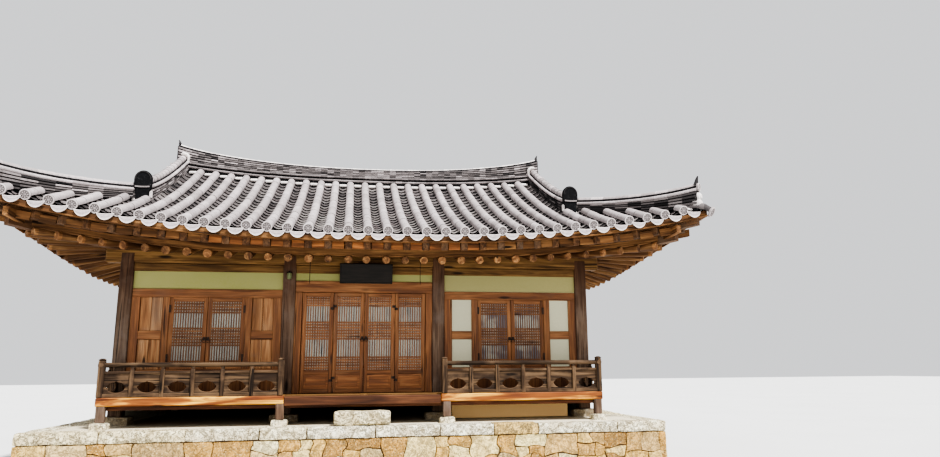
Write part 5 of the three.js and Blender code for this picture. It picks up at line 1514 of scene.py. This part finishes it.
def gable_trim(hand, word):
    """The boards over a bargeboard and the short rafters whose ends carry the tiles along the edge."""
    boards, rafter_ends = Piece(), Piece()
    y = np.linspace(0.0, FOOT_Y + 0.05, 14)
    top = roof_top(BARGE_X, y) - BED_BELOW - 0.004
    for y_way in (-1, 1):
        path = np.stack([0 * y + hand * (BARGE_X - 0.09), y_way * y, 0 * y], -1)
        for far, low, tone in ((0.03, roof_under(BARGE_X, y) - 0.02, 0.3), (0.12, top - 0.065, 0.7)):
            sweep(boards, path, rectangle(0.0, far, low, top), hand * X_WAY, UP, tone)
        for at in 0.12 + EDGE_TILE["pitch"] * np.arange(EDGE_TILE["count"]):
            level = roof_top(BARGE_X, at) - BED_BELOW - 0.13
            start, end = ((hand * x, y_way * at, level) for x in (BARGE_X - 0.25, BARGE_X + 0.015))
            up = point(0, y_way * slope_at(BARGE_X, at), 1)
            beam_between(rafter_ends, start, end, 0.085, 0.10, None, 0.006, up)
    boards.build(word + "_gable_boards", BROWN_GOLD_WOOD)
    rafter_ends.build(word + "_gable_rafters", GOLD_WOOD)


# The solids that stay, the studio and the camera

def dress_solids():
    finishes = {"inner_floor": FLOOR_WOOD, "low_wall": TAN, "front_left_plaster": LIME_SHADE,
                "front_middle_plaster": LIME_SHADE, "front_right_plaster": SHADED_LIME_FIELD,
                "right_bargeboards": BARGE_WOOD, "left_bargeboards": BARGE_WOOD}
    for name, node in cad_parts.items():
        if not node.hide_render:
            node.data.materials.clear()
            node.data.materials.append(finishes.get(name, LIME).material)


def studio():
    """A pale floor that runs back into the light, a soft sky all round and a broad light from the front."""
    bpy.ops.mesh.primitive_plane_add(size=160, location=(0, 0, -0.002))
    floor = bpy.context.object
    floor.name = "studio_floor"
    f = Finish("pale_floor", None, 0.9)
    cloud = f.share(f.noise(0.3, source="object"), 0.3, 0.7)
    floor.data.materials.append(f.finish(f.mix(cloud, (0.66, 0.66, 0.65), (0.70, 0.70, 0.69))).material)
    world = bpy.data.worlds.new("soft_sky")
    bpy.context.scene.world = world
    world.use_nodes = True
    back = world.node_tree.nodes["Background"]
    back.inputs["Color"].default_value = (0.93, 0.94, 0.96, 1)
    back.inputs["Strength"].default_value = 0.66
    for name, energy, size, turn in (("key", 4.9, 4, (31, 0, 38)), ("fill", 0.75, 50, (76, 0, -12))):
        light = bpy.data.lights.new(name, "SUN")
        light.energy = energy
        light.angle = math.radians(size)
        lamp = bpy.data.objects.new(name, light)
        lamp.rotation_euler = np.radians(turn)
        bpy.context.scene.collection.objects.link(lamp)


def camera():
    """The photograph's standpoint: eye height, a little left of the middle, looking up and to the right."""
    yaw, pitch, roll = (math.radians(v) for v in (9.8, 11.3, -0.44))
    ahead = Vector((math.sin(yaw) * math.cos(pitch), math.cos(yaw) * math.cos(pitch), math.sin(pitch)))
    level = Vector((math.cos(yaw), -math.sin(yaw), 0))
    right = math.cos(roll) * level + math.sin(roll) * level.cross(ahead)
    turned = Matrix((right, right.cross(ahead), -ahead)).transposed().to_4x4()
    data = bpy.data.cameras.new("camera")
    data.lens = 36 * 700 / 940
    made = bpy.data.objects.new("camera", data)
    made.matrix_world = Matrix.Translation((-0.26, -14.933, 1.58)) @ turned
    bpy.context.scene.collection.objects.link(made)
    bpy.context.scene.camera = made
    bpy.context.scene.view_settings.look = "AgX - High Contrast"
    bpy.context.scene.view_settings.exposure = 0.25


camera()
studio()
roof()
columns_and_beams()
side_bay(-1)
side_bay(1)
middle_bay()
for word, hand in (("right", 1), ("left", -1)):
    plain_wall(word, hand * math.pi / 2, COLUMN_X, [-COLUMN_Y, 0, COLUMN_Y], [0], COLUMN_Y - 0.106,
               hand * -SIDE_WINDOW_Y, SIDE_WINDOW_HALF)
plain_wall("back", math.pi, COLUMN_Y, COLUMNS, COLUMNS, COLUMN_X + 0.35, 0.0, WINDOW_HALF)
porch()
railing(-1)
railing(1)
platform()
name_board()
fittings()
for hand, word in HAND.items():
    gable(hand, word)
    gable_trim(hand, word)
dress_solids()
